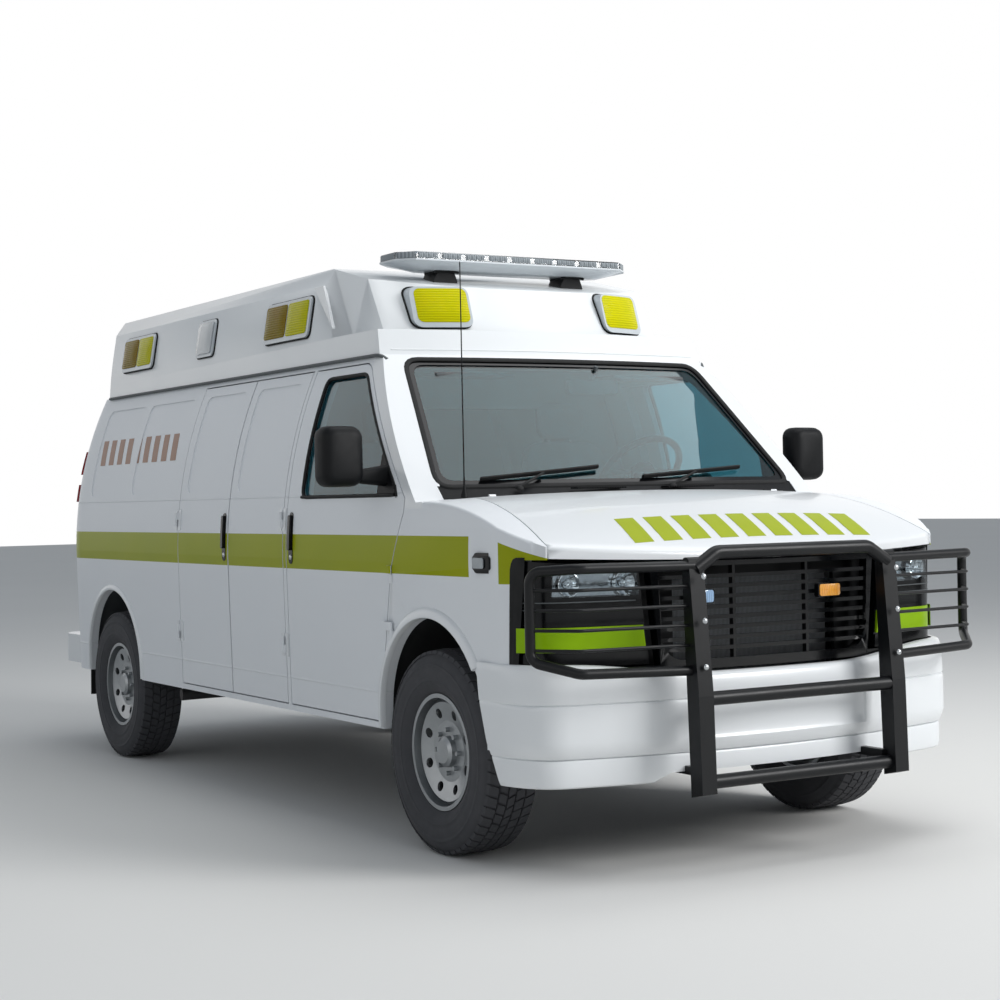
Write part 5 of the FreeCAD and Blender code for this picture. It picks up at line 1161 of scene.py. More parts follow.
@dataclass
class WindowSeals:
    """Rubber round the windscreen, the front door windows and the rear door windows."""

    door: tuple[tuple[float, float], ...] = ((175, 1362), (1041, 1362), (1041, 1870), (664, 1870), (190, 1392))
    screen: tuple[tuple[float, float], ...] = ((-873, 1390), (873, 1390), (738, 1925), (-738, 1925))
    printed: tuple[tuple[float, float], ...] = ((-836, 1414), (836, 1414), (712, 1900), (-712, 1900))
    inside: tuple[float, float] = (-7.5, -8.5)  # face and back of the printed band, under the glass's outer face

    def frit(self) -> None:
        """Builds the black band printed on the inside of the windscreen's edge."""
        band = Shape()
        outer, inner = filleted(self.screen, 60.0), filleted(self.printed, 50.0)
        face, back = self.inside
        rings = []
        for station in stations(outer, 40.0):
            edge, lip = along(outer, station), along(inner, station)
            rings.append([FORM.screen(*edge, face), FORM.screen(*lip, face), FORM.screen(*lip, back),
                          FORM.screen(*edge, back)])
        band.loft(rings + rings[:1], caps=False)
        band.weld()
        band.place("windscreen_printed_band", GLOSS_BLACK, "black_trim")

    def build(self) -> None:
        """Builds each seal as a flattened bead that follows its opening."""
        screen = Shape()
        outline = filleted(self.screen, 60.0)
        screen.tube([FORM.screen(*along(outline, s), -3.0) for s in stations(outline, 60.0)], 12.0, 8, closed=True,
                    flat=0.5, up=RAKED)
        screen.place("windscreen_seal", RUBBER_SEAL, "black_trim")
        self.frit()
        outline = filleted(self.door, 42.0)
        for side in SIDES:
            wall, tail, word = FORM.wall(side), FORM.tail(side), side_name(side)
            bead, back = Shape(), Shape()
            bead.tube([wall(*along(outline, s), -3.0) for s in stations(outline, 60.0)], 8.5, 8, closed=True, up=ACROSS)
            bead.tube([wall(lerp(185, 1036, k / 10), 1364, 1.5) for k in range(11)], 10.0, 8, flat=0.7)
            bead.place("front_door_seal_" + word, RUBBER_SEAL, "black_trim", "front_door_" + word)
            back.tube([tail(x, z, -2.0) for x, z in rounded(90, 520, 1300, 1740, 50)], 9.0, 8, closed=True, up=BACK)
            back.place("rear_door_seal_" + word, RUBBER_SEAL, "black_trim", "rear_door_" + word)


@dataclass
class Wipers:
    """Two wipers at rest and the slotted vents in the cowl."""

    blades: tuple[tuple[float, float, float, float, float], ...] = (  # pivot x, tip x, heel x, tip z, heel z
        (-560.0, -150.0, -690.0, 1462.0, 1418.0), (150.0, 600.0, 40.0, 1456.0, 1420.0),
    )

    def build(self, repeater: Repeater) -> None:
        """Builds blades and arms on the glass, and vents on the cowl."""
        rubber = Shape()
        for pivot, tip, heel, high, low in self.blades:
            path = [FORM.screen(lerp(heel, tip, k / 8), lerp(low, high, k / 8), 4.0) for k in range(9)]
            rubber.tube(path, 7.0, 6, flat=1.6, up=RAKED)
            middle = lerp(heel, tip, 0.5)
            foot = FORM.screen(pivot, 1388.0, 22.0)
            rubber.tube([foot, FORM.screen(lerp(pivot, middle, 0.5), 1412, 16.0),
                         FORM.screen(middle, lerp(low, high, 0.5), 14.0)], 8.0, 8, flat=0.6)
            rubber.dome(foot - at(0, DATUM_Y, 10), Vector((0.0, -0.5, 1.0)), 18.0, 14.0)
        rubber.place("wipers", RUBBER_SEAL, "black_trim")
        slat = Shape()
        slat.box(at(-4, DATUM_Y - 26, -3), at(4, DATUM_Y + 26, 3), 1.2, 1)
        for word, x in (("right", -330.0), ("left", 110.0)):
            repeater.lay(Pattern.ROW, slat, "cowl_vent_" + word, GRAINED, "black_trim", Count=20,
                         Start=at(x, -95, 1377), Step=ACROSS * 12.0 * MM)


@dataclass
class DoorFurniture:
    """Upright pull handles, hinge straps and the fuel flap."""

    handle_low: float = 1078.0
    handle_high: float = 1300.0
    handle_half: float = 19.0
    handles: tuple[tuple[str, str, int, float], ...] = (  # piece, body, side, station of its middle
        ("front_door_handle_right", "front_door_right", RIGHT, 1128.0),
        ("front_door_handle_left", "front_door_left", LEFT, 1128.0),
        ("load_door_handle", "load_door_rear", RIGHT, 1868.0))
    straps: tuple[tuple[str, str, float], ...] = (  # end of the piece's name, body, station where it starts
        ("post", "body", 1183.0), ("front_door", "load_door_front", 1222.0),
        ("wall", "body", 2458.0), ("rear_door", "load_door_rear", 2414.0))
    strap_z: tuple[float, float] = (690.0, 1235.0)

    def handle(self, name: str, body: str, side: int, station: float) -> None:
        """An oblong dark pull in its dished plate, with a lock at its foot."""
        wall = FORM.wall(side)
        w, low, high = self.handle_half, self.handle_low, self.handle_high
        plate, lock = Shape(), Shape()
        plate.panel(rounded(station - w, station + w, low, high, w - 0.5, 7), wall, 3.0, 6.0, 30.0)
        pull = rounded(station - w * 0.55, station + w * 0.55, low + 58, high - 12, 9, 5)
        plate.panel(pull, wall, 15.0, 14.0, 30.0, 4.0)
        plate.place(name, GLOSS_BLACK, "black_trim", body)
        lock.dome(wall(station, low + 28, 2.0), ACROSS * side, 12.0, 5.0)
        lock.place(name + "_lock", BRIGHT_STEEL, "cast_parts", body)

    def build(self) -> None:
        """Builds handles and straps of all side doors, and the fuel flap."""
        for handle in self.handles:
            self.handle(*handle)
        for word, body, y in self.straps:
            leaf = Shape()
            for z in self.strap_z:
                leaf.panel(rounded(y, y + (24.0 if word == "post" else 28.0), z - 16, z + 84, 6, 3), FORM.wall(RIGHT),
                           5.0, 7.0, 40.0)
            leaf.place("load_hinge_straps_" + word, ENAMEL, "white_paint", body)
        flap = Shape()
        flap.panel(rounded(2660, 2830, 905, 1035, 14), FORM.wall(LEFT), 2.0, 3.0, 60.0)
        flap.place("fuel_flap", ENAMEL, "white_paint")


@dataclass
class ArchLips:
    """Rolled lips round the wheel openings."""

    radius: float = 402.0
    top: float = 899.0
    openings: tuple[tuple[str, float, float, float, float], ...] = (  # word, axle, front foot, proud, broad
        ("front", -85.0, 700.0, 15.0, 38.0), ("rear", 3429.0, 446.0, 15.0 * 0.6, 38.0 * 0.7))
    rear_foot: float = 446.0

    def build(self) -> None:
        """Builds a lip round each opening."""
        for word, *sizes in self.openings:
            for side in SIDES:
                lip = Shape()
                lip.loft(self.rings(side, *sizes))
                lip.place("arch_lip_%s_%s" % (word, side_name(side)), ENAMEL, "white_paint", "body", 60.0)

    def rings(self, side: int, axle: float, front_foot: float, proud: float, broad: float) -> list[list[Vector]]:
        """Sections of a lip from its front foot over the wheel to its rear foot."""
        centre, r = self.top - self.radius, self.radius
        path = []  # station, height and the way the lip faces
        if front_foot < centre:
            path = [(axle - r, lerp(front_foot, centre, k / 5.0), -1.0, 0.0) for k in range(5)]
        for k in range(33):
            turn = math.pi * (1.0 - k / 32.0)
            c, s = math.cos(turn), math.sin(turn)
            if c >= 0.0 or centre + r * s >= front_foot:
                path.append((axle + r * c, centre + r * s, c, s))
        path += [(axle + r, lerp(centre, self.rear_foot, k / 5.0), 1.0, 0.0) for k in range(1, 6)]
        section = ((-3.0, -12.0), (-4.0, 6.0), (-1.0, proud), (broad * 0.35, proud), (broad * 0.7, proud * 0.6),
                   (broad, 0.0), (broad, -6.0))
        return [[at(side * (FORM.half_width(max(FORM.sill_z, z + s * on)) + out), y + c * on, z + s * on)
                 for on, out in section] for y, z, c, s in path]


@dataclass
class FrontBumper:
    """Deep painted bumper with a pressed line, a plate recess and a lip below."""

    profile: tuple[tuple[float, float], ...] = (  # height and how far it stands out
        (708.0, 9.0), (708.0, 26.0), (706.0, 36.0), (700.0, 44.0), (690.0, 49.0), (660.0, 52.0), (627.0, 55.0),
        (621.0, 53.0), (618.0, 48.0), (615.0, 53.0), (608.0, 56.0), (598.0, 57.0), (590.0, 57.0), (510.0, 57.0),
        (486.0, 56.5), (474.0, 55.0), (462.0, 51.0), (434.0, 40.0), (428.0, 33.0), (426.0, 25.0), (423.0, 33.0),
        (415.0, 36.0), (345.0, 34.0), (331.0, 30.0), (325.5, 22.0), (325.5, 9.0),
    )
    crown: float = 48.0  # how much its top rises towards the corners
    crown_x: tuple[float, float] = (300.0, 860.0)
    crown_z: tuple[float, float] = (627.0, 708.0)  # the part of its height that the rise is shared over
    end_line: tuple[tuple[float, float], ...] = (
        (200.0, -600.0), (325.0, -590.0), (470.0, -520.0), (640.0, -468.0), (800.0, -452.0))
    recess_x: float = 396.0
    recess_z: tuple[float, float] = (480.0, 599.0)
    recess: float = 8.0
    lift_x: tuple[float, float] = (462.0, 530.0)
    lift_z: float = 360.0
    holes_x: tuple[float, float] = (-89.0, 89.0)
    holes_z: tuple[float, float] = (458.5, 579.5)

    def build(self, repeater: Repeater) -> None:
        """Builds the skin, its brackets and black discs as painted shade for the plate holes."""
        edges = [x / FORM.nose_half for x in (self.recess_x - 6, self.recess_x, *self.lift_x)]
        columns = [0.0, 0.1, 0.2, 0.3, 0.38, *edges[:2], 0.475, *edges[2:], 0.65, 0.7, 0.75, 0.8, 0.85, 0.9, 0.93,
                   0.97, 1.02, 1.08, 1.16, 1.24, 1.32, 1.42, 1.5, 1.6, 1.7, 1.8, 1.9, 2.0, 2.08, 2.16, 2.24, 2.32,
                   2.5, 2.75, 3.0]
        skin = Shape()
        skin.loft([self.ring(t) for t in [-t for t in reversed(columns[1:])] + columns])
        for side in SIDES:
            skin.box(at(side * 400 - 30, -918, 462), at(side * 400 + 30, -868, 588), 4.0)
        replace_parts(skin.place("front_bumper_skin", ENAMEL, "white_paint", "body", 34.0), "front_bumper")
        # the plate's screw holes are flat black discs on the recess: painted shade of open holes
        hole = Shape()
        hole.dome(Vector(), UP, 4.6, 0.6, 12, 2)
        repeater.lay(Pattern.SPOTS, hole, "plate_screw_holes", RUBBER_SEAL, "black_trim", spots=[
            (FORM.nose(x / FORM.nose_half, z, 55.2 - self.recess), AHEAD) for x in self.holes_x for z in self.holes_z])

    def ring(self, t: float) -> list[Vector]:
        """The bumper's section at a column, cut back at its end and lifted over the tow hooks."""
        side = -1.0 if t < 0.0 else 1.0
        size = abs(t)
        x = min(size, 1.0) * FORM.nose_half
        foot, top = self.crown_z
        rise = chart(x, ((self.crown_x[0], 0.0), (self.crown_x[1], 1.0)))
        ring = []
        for z, proud in self.profile:
            if x <= self.recess_x - 5.9 and self.recess_z[0] <= z <= self.recess_z[1] - 5.0:
                proud -= self.recess
            if z > foot:
                z += self.crown * rise * rise * (3.0 - 2.0 * rise) * (z - foot) / (top - foot)
            z = max(z, chart(x, ((self.lift_x[0], self.lift_z), (self.lift_x[1], 325.0))))
            reach = size
            if size > 2.0:
                bend = FORM.bend[1] - 0.5 * proud
                reach = 2.0 + (size - 2.0) * (chart(z, self.end_line) - bend) / (FORM.side_y - bend)
            ring.append(FORM.nose(side * reach, z, proud))
        return ring


@dataclass
class Headlamps:
    """Wrap-round lamp units: reflector and lens above, a black band and a reflective strip below."""

    low: float = 744.0
    high: float = 1104.0
    rise: float = 16.0  # how much its top edge climbs towards the outer end
    inner: tuple[float, float] = (528.0, 572.0)
    rear: tuple[float, float] = (-657.0, -692.0)
    mirror_end: float = 0.46  # share of the lamp's width that its mirror and lens take
    spots: tuple[float, float] = (0.69, 0.93)
    ribs: tuple[float, float] = (972.0, 946.0)
    flank: tuple[tuple[float, float], ...] = (  # outer plate: thousandths of the nose's plan, and height
        (1800, 744), (2040, 744), (2020, 900), (2000, 1040), (1985, 1090), (1950, 1112), (1890, 1126), (1800, 1132),
        (1560, 1132))
    flank_strip: tuple[tuple[float, float], ...] = ((1440, 798), (1850, 798), (1840, 884), (1440, 884))
    reach: float = 0.03  # how far off, in metres, the panel may be to carry the outer plate
    sideways: float = 0.8  # how squarely it must face the vehicle's side
    stand_off: float = 7.0  # added where the plate has no panel behind it
    face_z: tuple[float, float] = (742.0, 379.0)  # foot and height of the lamp's face, for its slanted ends

    def rows(self, side: int, z0: float, z1: float, proud: float, start: float = 0.0, end: float = 1.0,
             across: int = 14, up: int = 4, trim: float = 0.0) -> list[list[Vector]]:
        """A patch of the lamp's curved face.

        Args:
            side: Side of the vehicle.
            z0: Its lowest height.
            z1: Its highest height.
            proud: Height over the nose.
            start: Share of the lamp's width where it starts.
            end: Share of the lamp's width where it ends.
            across: Facets along it.
            up: Facets up it.
            trim: How far its inner and outer edges are moved in.

        Returns:
            Rows of points.
        """
        rows = []
        for i in range(up + 1):
            z = lerp(z0, z1, i / up)
            climb = self.rise * i / up if z1 == self.high else 0.0
            share = (z - self.face_z[0]) / self.face_z[1]
            t0 = (lerp(*self.inner, share) + trim) / FORM.nose_half
            t1 = 1.0 + (lerp(*self.rear, share) - trim - FORM.corner_y) / (FORM.bend[1] - FORM.corner_y)
            shares = [lerp(start, end, j / across) for j in range(across + 1)]
            rows.append([FORM.nose(side * lerp(t0, t1, k), z + climb * k, proud) for k in shares])
        return rows

    def block(self, shape: Shape, side: int, z: tuple[float, float], face: float, back: float, **patch: float) -> None:
        """Adds a curved block between two heights, from its face back to its rear."""
        shape.slab(self.rows(side, *z, face, **patch), self.rows(side, *z, back, **patch))

    def outer(self, side: int) -> Place:
        """Places thousandths of the nose's plan and a height on the panel round the lamp's outer end."""
        mesh = NODES["fenders"].data
        panel = BVHTree.FromPolygons([v.co for v in mesh.vertices], [list(p.vertices) for p in mesh.polygons])

        def free(u: float, z: float, proud: float) -> Vector:
            """The place on the nose's plan alone."""
            x, y = FORM.plan(u / 1000.0, proud)
            return at(side * x, y, z)

        def place(u: float, z: float, proud: float) -> Vector:
            """The nearest place on the panel's outer face, or on the plan where there is no panel."""
            near, normal, _, distance = panel.find_nearest(free(u, z, proud))
            if distance < self.reach and normal.x * side > self.sideways:
                return near + normal * proud * MM
            return free(u, z, proud + self.stand_off)

        return place

    def build(self) -> None:
        """Builds both units."""
        housing, mirror, lens, strip, fine = Shape(), Shape(), Shape(), Shape(), Shape()
        end = self.mirror_end
        for side in SIDES:
            self.block(housing, side, (self.low, self.high), -66.0, -84.0)
            for z in ((self.low, 792.0), (886.0, 990.0), (1078.0, self.high)):
                self.block(housing, side, z, -6.0, -68.0, trim=2)
            for start, stop in ((0.0, 0.01), (end, 1.0)):
                self.block(housing, side, (988.0, 1080.0), -6.0, -68.0, start=start, end=stop, across=6)
            self.block(housing, side, (790.0, 888.0), -14.0, -68.0, trim=2)
            self.block(strip, side, (798.0, 884.0), -5.0, -13.0, trim=8, end=0.71)
            outer = self.outer(side)
            housing.panel(self.flank, outer, 2.0, 7.0, 24.0)
            strip.panel(self.flank_strip, outer, 4.5, 4.0, 24.0)
            self.block(mirror, side, (992.0, 1076.0), -44.0, -64.0, end=end)
            self.block(lens, side, (990.0, 1077.0), -4.0, -8.0, start=0.01, end=end + 0.01)
            aim = Vector((side * 0.1, -1.0, 0.0))
            for spot in self.spots:
                centre = FORM.nose(side * spot, 1034.0, -42.0)
                mirror.revolve([(0.0, 40.0), (24.0, 43.0), (25.0, 40.0), (4.0, 24.0), (-1.0, 14.0), (-2.0, 13.0)],
                               centre, aim, 28)
                mirror.dome(centre, aim, 13.0, 20.0)
            for z in self.ribs:
                fine.tube(self.rows(side, z, z + 1.0, -4.0, 0.02, 0.98, 18, 1, 6.0)[0], 2.4, 6)
        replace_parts(housing.place("headlamp_housings", GLOSS_BLACK, "head_lens"), "headlamps")
        mirror.place("headlamp_reflectors", CHROME, "head_lens")
        lens.place("headlamp_lenses", CLEAR_LENS, "head_lens")
        strip.place("headlamp_reflective_strips", LIME_FILM, "lamp_lens")
        fine.place("headlamp_ribs", GREY_TRIM, "black_trim")


@dataclass
class GrilleLamps:
    """Small flashing lamps on the grille, a pale blue one and an amber one, each in its pod."""

    height: float = 976.0
    lamps: tuple[tuple[str, float, Finish], ...] = (("blue", -327.0, BLUE_LENS), ("amber", 263.0, AMBER_LENS))

    def face(self, middle: float) -> Place:
        """Places an offset from a lamp's middle and a height on the nose."""
        return lambda u, z, proud: FORM.nose((middle + u) / FORM.nose_half, z, proud)

    def build(self) -> None:
        """Builds both lamps with their pods."""
        for word, x, lens in self.lamps:
            pod, glass = Shape(), Shape()
            pod.panel(rounded(-58, 58, self.height - 26, self.height + 26, 10), self.face(x), 12.0, 20.0, 30.0)
            glass.panel(rounded(-52, 52, self.height - 22, self.height + 22, 9), self.face(x), 15.0, 6.0, 20.0, 4.0)
            pod.place("grille_lamp_pod_" + word, GLOSS_BLACK, "black_trim")
            glass.place("grille_lamp_lens_" + word, lens, "lamp_lens")


@dataclass
class GuardBolts:
    """Bolts through the guard's upright plates."""

    x: float = 446.0
    heights: tuple[tuple[float, float], ...] = ((1056.0, -1072.0), (902.0, -1076.0), (742.0, -1079.0))

    def build(self, repeater: Repeater) -> None:
        """Lays a domed bolt at each hole, at its height and station."""
        bolt = Shape()
        bolt.dome(Vector(), UP, 11.0, 6.0, 12, 4)
        repeater.lay(Pattern.SPOTS, bolt, "guard_bolts", BRIGHT_STEEL, "cast_parts", spots=[
            (at(side * self.x, y - 1.0 + (1112 - z) * 0.004, z), AHEAD) for side in SIDES for z, y in self.heights])


@dataclass
class DoorMirror:
    """Upright mirror: moulded shell, silvered glass, arm and the blank panel it stands on."""

    side: int
    x: tuple[float, float] = (1078.0, 1256.0)
    z: tuple[float, float] = (1398.0, 1636.0)
    glass_y: float = 334.0
    shell: tuple[tuple[float, float, float], ...] = (  # station, inset, corner radius
        (241, 34, 30), (246, 18, 36), (256, 8, 42), (274, 2, 46), (300, 0, 48), (330, 0.5, 46), (338, 3, 42),
        (339.5, 8, 36), (330, 11, 34))
    arm: tuple[tuple[float, float, float, float, float], ...] = (  # x, lowest, highest, front, rear
        (952, 1396, 1486, 258, 322), (1000, 1402, 1478, 263, 318), (1060, 1408, 1470, 266, 314),
        (1112, 1414, 1466, 268, 312))
    corner: tuple[tuple[float, float], ...] = ((178, 1364), (343, 1364), (343, 1534), (200, 1396))

    def outline(self, inset: float, radius: float) -> Outline:
        """The head's outline in x and height, moved in."""
        return rounded(self.x[0] + inset, self.x[1] - inset, self.z[0] + inset, self.z[1] - inset, radius, 6)

    def build(self) -> None:
        """Builds the mirror on its door."""
        s, word = self.side, side_name(self.side)
        body = "front_door_" + word
        shell, glass = Shape(), Shape()
        shell.loft([[at(s * x, y, z) for x, z in self.outline(inset, radius)] for y, inset, radius in self.shell])
        shell.loft([[at(s * x, y, z) for y, z in rounded(front, rear, low, high, 18, 4)]
                    for x, low, high, front, rear in self.arm])
        shell.panel(filleted(self.corner, 12, 3), FORM.wall(s), 0.5, 11.0, 60.0)
        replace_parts(shell.place("mirror_shell_" + word, GRAINED, "black_trim", body, 50.0), "mirror_" + word)
        glass.panel(self.outline(12, 34), lambda x, z, proud: at(s * x, self.glass_y + proud, z), 1.5, 4.0, 80.0)
        glass.place("mirror_glass_" + word, MIRROR_GLASS, "clear_glass", body)


@dataclass
class Seat:
    """A cab seat: pedestal, crowned cushion, back with side bolsters and a head restraint."""

    side: int
    middle: float = 455.0
    seams: tuple[float, ...] = (-0.62, -0.2, 0.2, 0.62)

    def pad(self, name: str, x: float, low: Sequence[float], high: Sequence[float], power: float, lean: float,
            channels: Sequence[float], crown: float) -> bpy.types.Object:
        """A crowned cushion as a superellipsoid with sewn channels.

        Args:
            name: Start of the piece's name.
            x: Half its width.
            low: Its lowest station and height.
            high: Its highest station and height.
            power: How square its edges are.
            lean: How far its top runs back for each millimetre it rises.
            channels: Places of the seams across it, from -1 to 1.
            crown: How much its middle swells, in millimetres.

        Returns:
            The cushion.
        """
        cloth = Shape()
        bmesh.ops.create_cube(cloth.mesh, size=2.0)
        bmesh.ops.subdivide_edges(cloth.mesh, edges=cloth.mesh.edges[:], cuts=17, use_grid_fill=True)
        offset = self.side * self.middle
        low, high = Vector((offset - x, *low)), Vector((offset + x, *high))
        middle, half = (low + high) / 2.0, (high - low) / 2.0
        face_y = half.y < half.z
        for v in cloth.mesh.verts:
            a, b, c = v.co
            size = (abs(a) ** power + abs(b) ** power + abs(c) ** power) ** (1.0 / power)
            a, b, c = a / size, b / size, c / size
            flat, w = (b, c) if face_y else (c, b)
            swell = crown * (1.0 - a * a) * (1.0 - w * w)
            seam = sum(math.exp(-((a - k) / 0.03) ** 2) for k in channels) * 7.0
            push = (swell - seam) * (1.0 if flat > 0 else -1.0) * min(1.0, abs(flat) * 1.4)
            y = middle.y + b * half.y + (push if face_y else 0.0)
            z = middle.z + c * half.z + (0.0 if face_y else push * (1.0 if flat > 0 else 0.2))
            v.co = at(middle.x + a * half.x, y + lean * (z - low.z), z)
        made = cloth.place(name + "_" + side_name(self.side), SEAT_CLOTH, "seat_vinyl", "body", 180.0)
        return made

    def build(self) -> bpy.types.Object:
        """Builds the seat and returns its cushion."""
        word, x = side_name(self.side), self.side * self.middle
        cushion = self.pad("seat_cushion", 238, (645, 905), (1150, 1022), 5.0, 0.0, self.seams, 8.0)
        self.pad("seat_back", 228, (1072, 1030), (1172, 1602), 5.0, 0.15, self.seams, 8.0)
        self.pad("seat_head_restraint", 128, (1188, 1612), (1256, 1788), 3.6, 0.03, (), 4.0)
        base, posts = Shape(), Shape()
        base.box(at(x - 185, 705, 641), at(x + 185, 1115, 912), 14.0)
        base.place("seat_pedestal_" + word, GREY_TRIM, "black_trim")
        for dx in (-60.0, 60.0):
            posts.tube([at(x + dx, 1240, 1560), at(x + dx, 1226, 1650)], 7.0, 10)
        posts.place("seat_head_posts_" + word, BRIGHT_STEEL, "cast_parts")
        return cushion


@dataclass
class Cabin:
    """Fittings seen through the glass: binnacle, vents, centre stack, mirror and sun visors."""

    wheel_x: float = 409.0
    vents: tuple[tuple[str, float, float], ...] = (  # word, x, station
        ("outer_right", -760.0, 436.0), ("middle_right", -75.0, 450.0), ("middle_left", 75.0, 450.0),
        ("outer_left", 760.0, 436.0))

    def build(self, repeater: Repeater) -> None:
        """Builds the fittings."""
        hood = Shape()
        hood.loft([[at(self.wheel_x + x, y, z) for x, y, z in (
                    (-w, y0, 1376), (w, y0, 1376), (w * 0.92, y0 + 6, top), (-w * 0.92, y0 + 6, top))]
                   for w, y0, top in ((150, 140, 1392), (168, 200, 1428), (172, 290, 1440), (170, 325, 1434))])
        hood.box(at(-150, 396, 1010), at(150, 446, 1300), 14.0)
        hood.box(at(-700, 402, 1010), at(-260, 442, 1150), 10.0)
        hood.place("dashboard_binnacle_and_stack", GREY_TRIM, "grey_interior")
        slat = Shape()
        slat.box(at(-52, DATUM_Y - 4, -2.5), at(52, DATUM_Y + 4, 2.5), 1.0, 1)
        for word, x, y in self.vents:
            repeater.lay(Pattern.ROW, slat, "dashboard_vent_" + word, GLOSS_BLACK, "black_trim", Count=5,
                         Start=at(x, y, 1222), Step=UP * 11.0 * MM)
        inner, glass = Shape(), Shape()
        inner.loft([[at(x, y, z) for x, z in rounded(22, 278, 1782, 1846, 24)] for y in (478, 484, 500, 506)])
        inner.tube([at(150, 498, 1820), at(150, 470, 1870), at(150, 452, 1904)], 9.0, 10)
        for side in SIDES:
            inner.box(at(side * 440 - 190, 470, 1850), at(side * 440 + 190, 640, 1868), 8.0)
        inner.place("cab_mirror_and_visors", GREY_TRIM, "grey_interior")
        glass.panel(rounded(30, 270, 1788, 1840, 20), lambda x, z, proud: at(x, 506 + proud, z), 1.0, 2.0, 60.0)
        glass.place("cab_mirror_glass", MIRROR_GLASS, "clear_glass")


@dataclass
class RearFittings:
    """Rear door handle, plate panel, high stop lamp, bumper reflectors, step pad, flaps, tank and exhaust."""

    pipe: tuple[tuple[float, float, float], ...] = (
        (-250, -200, 420), (-250, 400, 400), (-280, 900, 400), (-290, 1500, 405), (-300, 2250, 415), (-360, 2420, 410),
        (-520, 2540, 400), (-760, 2600, 396), (-930, 2620, 392))

    def build(self, repeater: Repeater) -> None:
        """Builds what is fitted at the tail and under the floor."""
        pull, plate, lamp, rib = Shape(), Shape(), Shape(), Shape()
        pull.panel(rounded(30, 66, 1010, 1190, 16), FORM.tail(RIGHT), 4.0, 7.0, 40.0)
        pull.panel(rounded(40, 58, 1050, 1175, 8), FORM.tail(RIGHT), 18.0, 16.0, 40.0, 4.0)
        pull.place("rear_door_handle", GLOSS_BLACK, "black_trim", "rear_door_right")
        plate.panel(rounded(110, 430, 790, 960, 12), FORM.tail(LEFT), 5.0, 8.0, 80.0)
        plate.place("rear_plate_panel", GRAINED, "black_trim", "rear_door_left")
        lamp.box(at(-120, 4260, 1902), at(120, 4270, 1928), 4.0)
        lamp.place("high_stop_lamp", RED_LENS, "red_lens")
        rib.box(at(-420, DATUM_Y - 3, -1.5), at(420, DATUM_Y + 3, 2.5), 1.0, 1)
        repeater.lay(Pattern.ROW, rib, "rear_step_ribs", GRAINED, "black_trim", Count=7,
                     Start=at(0, 4342, 618), Step=BACK * 12.0 * MM)
        spots, flaps, tank, pipe = Shape(), Shape(), Shape(), Shape()
        for side in SIDES:
            spots.box(at(side * 760 - 45, 4392, 520), at(side * 760 + 45, 4402, 556), 4.0,
                      turn=Matrix.Rotation(math.radians(side * -22.0), 3, "Z"))
            x0, x1 = sorted((side * 742.0, side * 972.0))
            flaps.loft([[at(x, y + dy, z) for x, y in ((x0, 3858), (x1, 3858), (x1, 3866), (x0, 3866))]
                        for z, dy in ((300, 10), (420, 5), (560, 0), (640, 0))])
        spots.place("rear_bumper_reflectors", RED_LENS, "red_lens")
        flaps.place("mud_flaps", RUBBER_SEAL, "black_trim")
        tank.box(at(470, 1560, 330), at(800, 2500, 560), 36.0, 4)
        for y in (1760.0, 2300.0):
            tank.box(at(462, y - 18, 322), at(808, y + 18, 600), 8.0)
        tank.place("fuel_tank", CHASSIS, "chassis_black")
        pipe.tube([at(*spot) for spot in self.pipe], 30.0, 14)
        pipe.box(at(-400, 1050, 350), at(-190, 1750, 470), 50.0, 4)
        pipe.place("exhaust_pipe_and_silencer", CAST_IRON, "cast_parts")


@dataclass
class WingLamps:
    """Clear front face and dark bezel of each wing lamp."""

    half: float = 1007.0
    taper: float = 0.13  # how much the fender narrows for each millimetre forward of its bend
    bend_y: float = -470.0

    def flank(self, side: int) -> Place:
        """Places a station and height on the fender, which narrows forward of the wing lamp."""
        return lambda y, z, proud: at(
            side * (self.half - self.taper * max(0.0, self.bend_y - y) + proud), y, z)

    def build(self) -> None:
        """Builds both lens faces and the dark bezels round them."""
        lens, bezel = Shape(), Shape()
        for side in SIDES:
            bezel.panel(rounded(-604, -448, 1074, 1148, 28), self.flank(side), 2.0, 16.0, 40.0, 2.0)
            lens.panel(rounded(-532, -458, 1092, 1130, 8), FORM.wall(side), 17.0, 3.0, 40.0)
        lens.place("wing_lamp_lenses", PALE_LENS, "lamp_lens")
        bezel.place("wing_lamp_bezels", GLOSS_BLACK, "black_trim")


@dataclass
class SafetyMarks:
    """Plain slanted hazard bars: tan on both flanks and lime on the hood, with no lettering."""

    bars: int = 9

    def row(self, first: float, length: float, width: float, slant: float, low: float, high: float) -> list[Outline]:
        """Outlines of a row of slanted bars, a pitch apart along the first coordinate."""
        starts = [first + k * length / self.bars for k in range(self.bars)]
        return [[(s, low), (s + width, low), (s + width + slant, high), (s + slant, high)] for s in starts]

    def build(self) -> None:
        """Builds both rows of bars as thin film."""
        for side in SIDES:
            flank = Shape()
            for bar in self.row(2610.0, 1180.0, 74.0, 26.0, 1566.0, 1702.0):
                flank.panel(bar, FORM.wall(side), -4.2, 0.6, 60.0)
            flank.place("flank_bars_" + side_name(side), MARK_TAN, "white_paint")
        hood = Shape()
        for bar in self.row(-545.0, 1150.0, 84.0, 42.0, -806.0, -612.0):
            hood.panel(bar, FORM.hood, 0.9, 0.8, 30.0)
        hood.place("hood_bars", MARK_LIME, "white_paint", "hood")


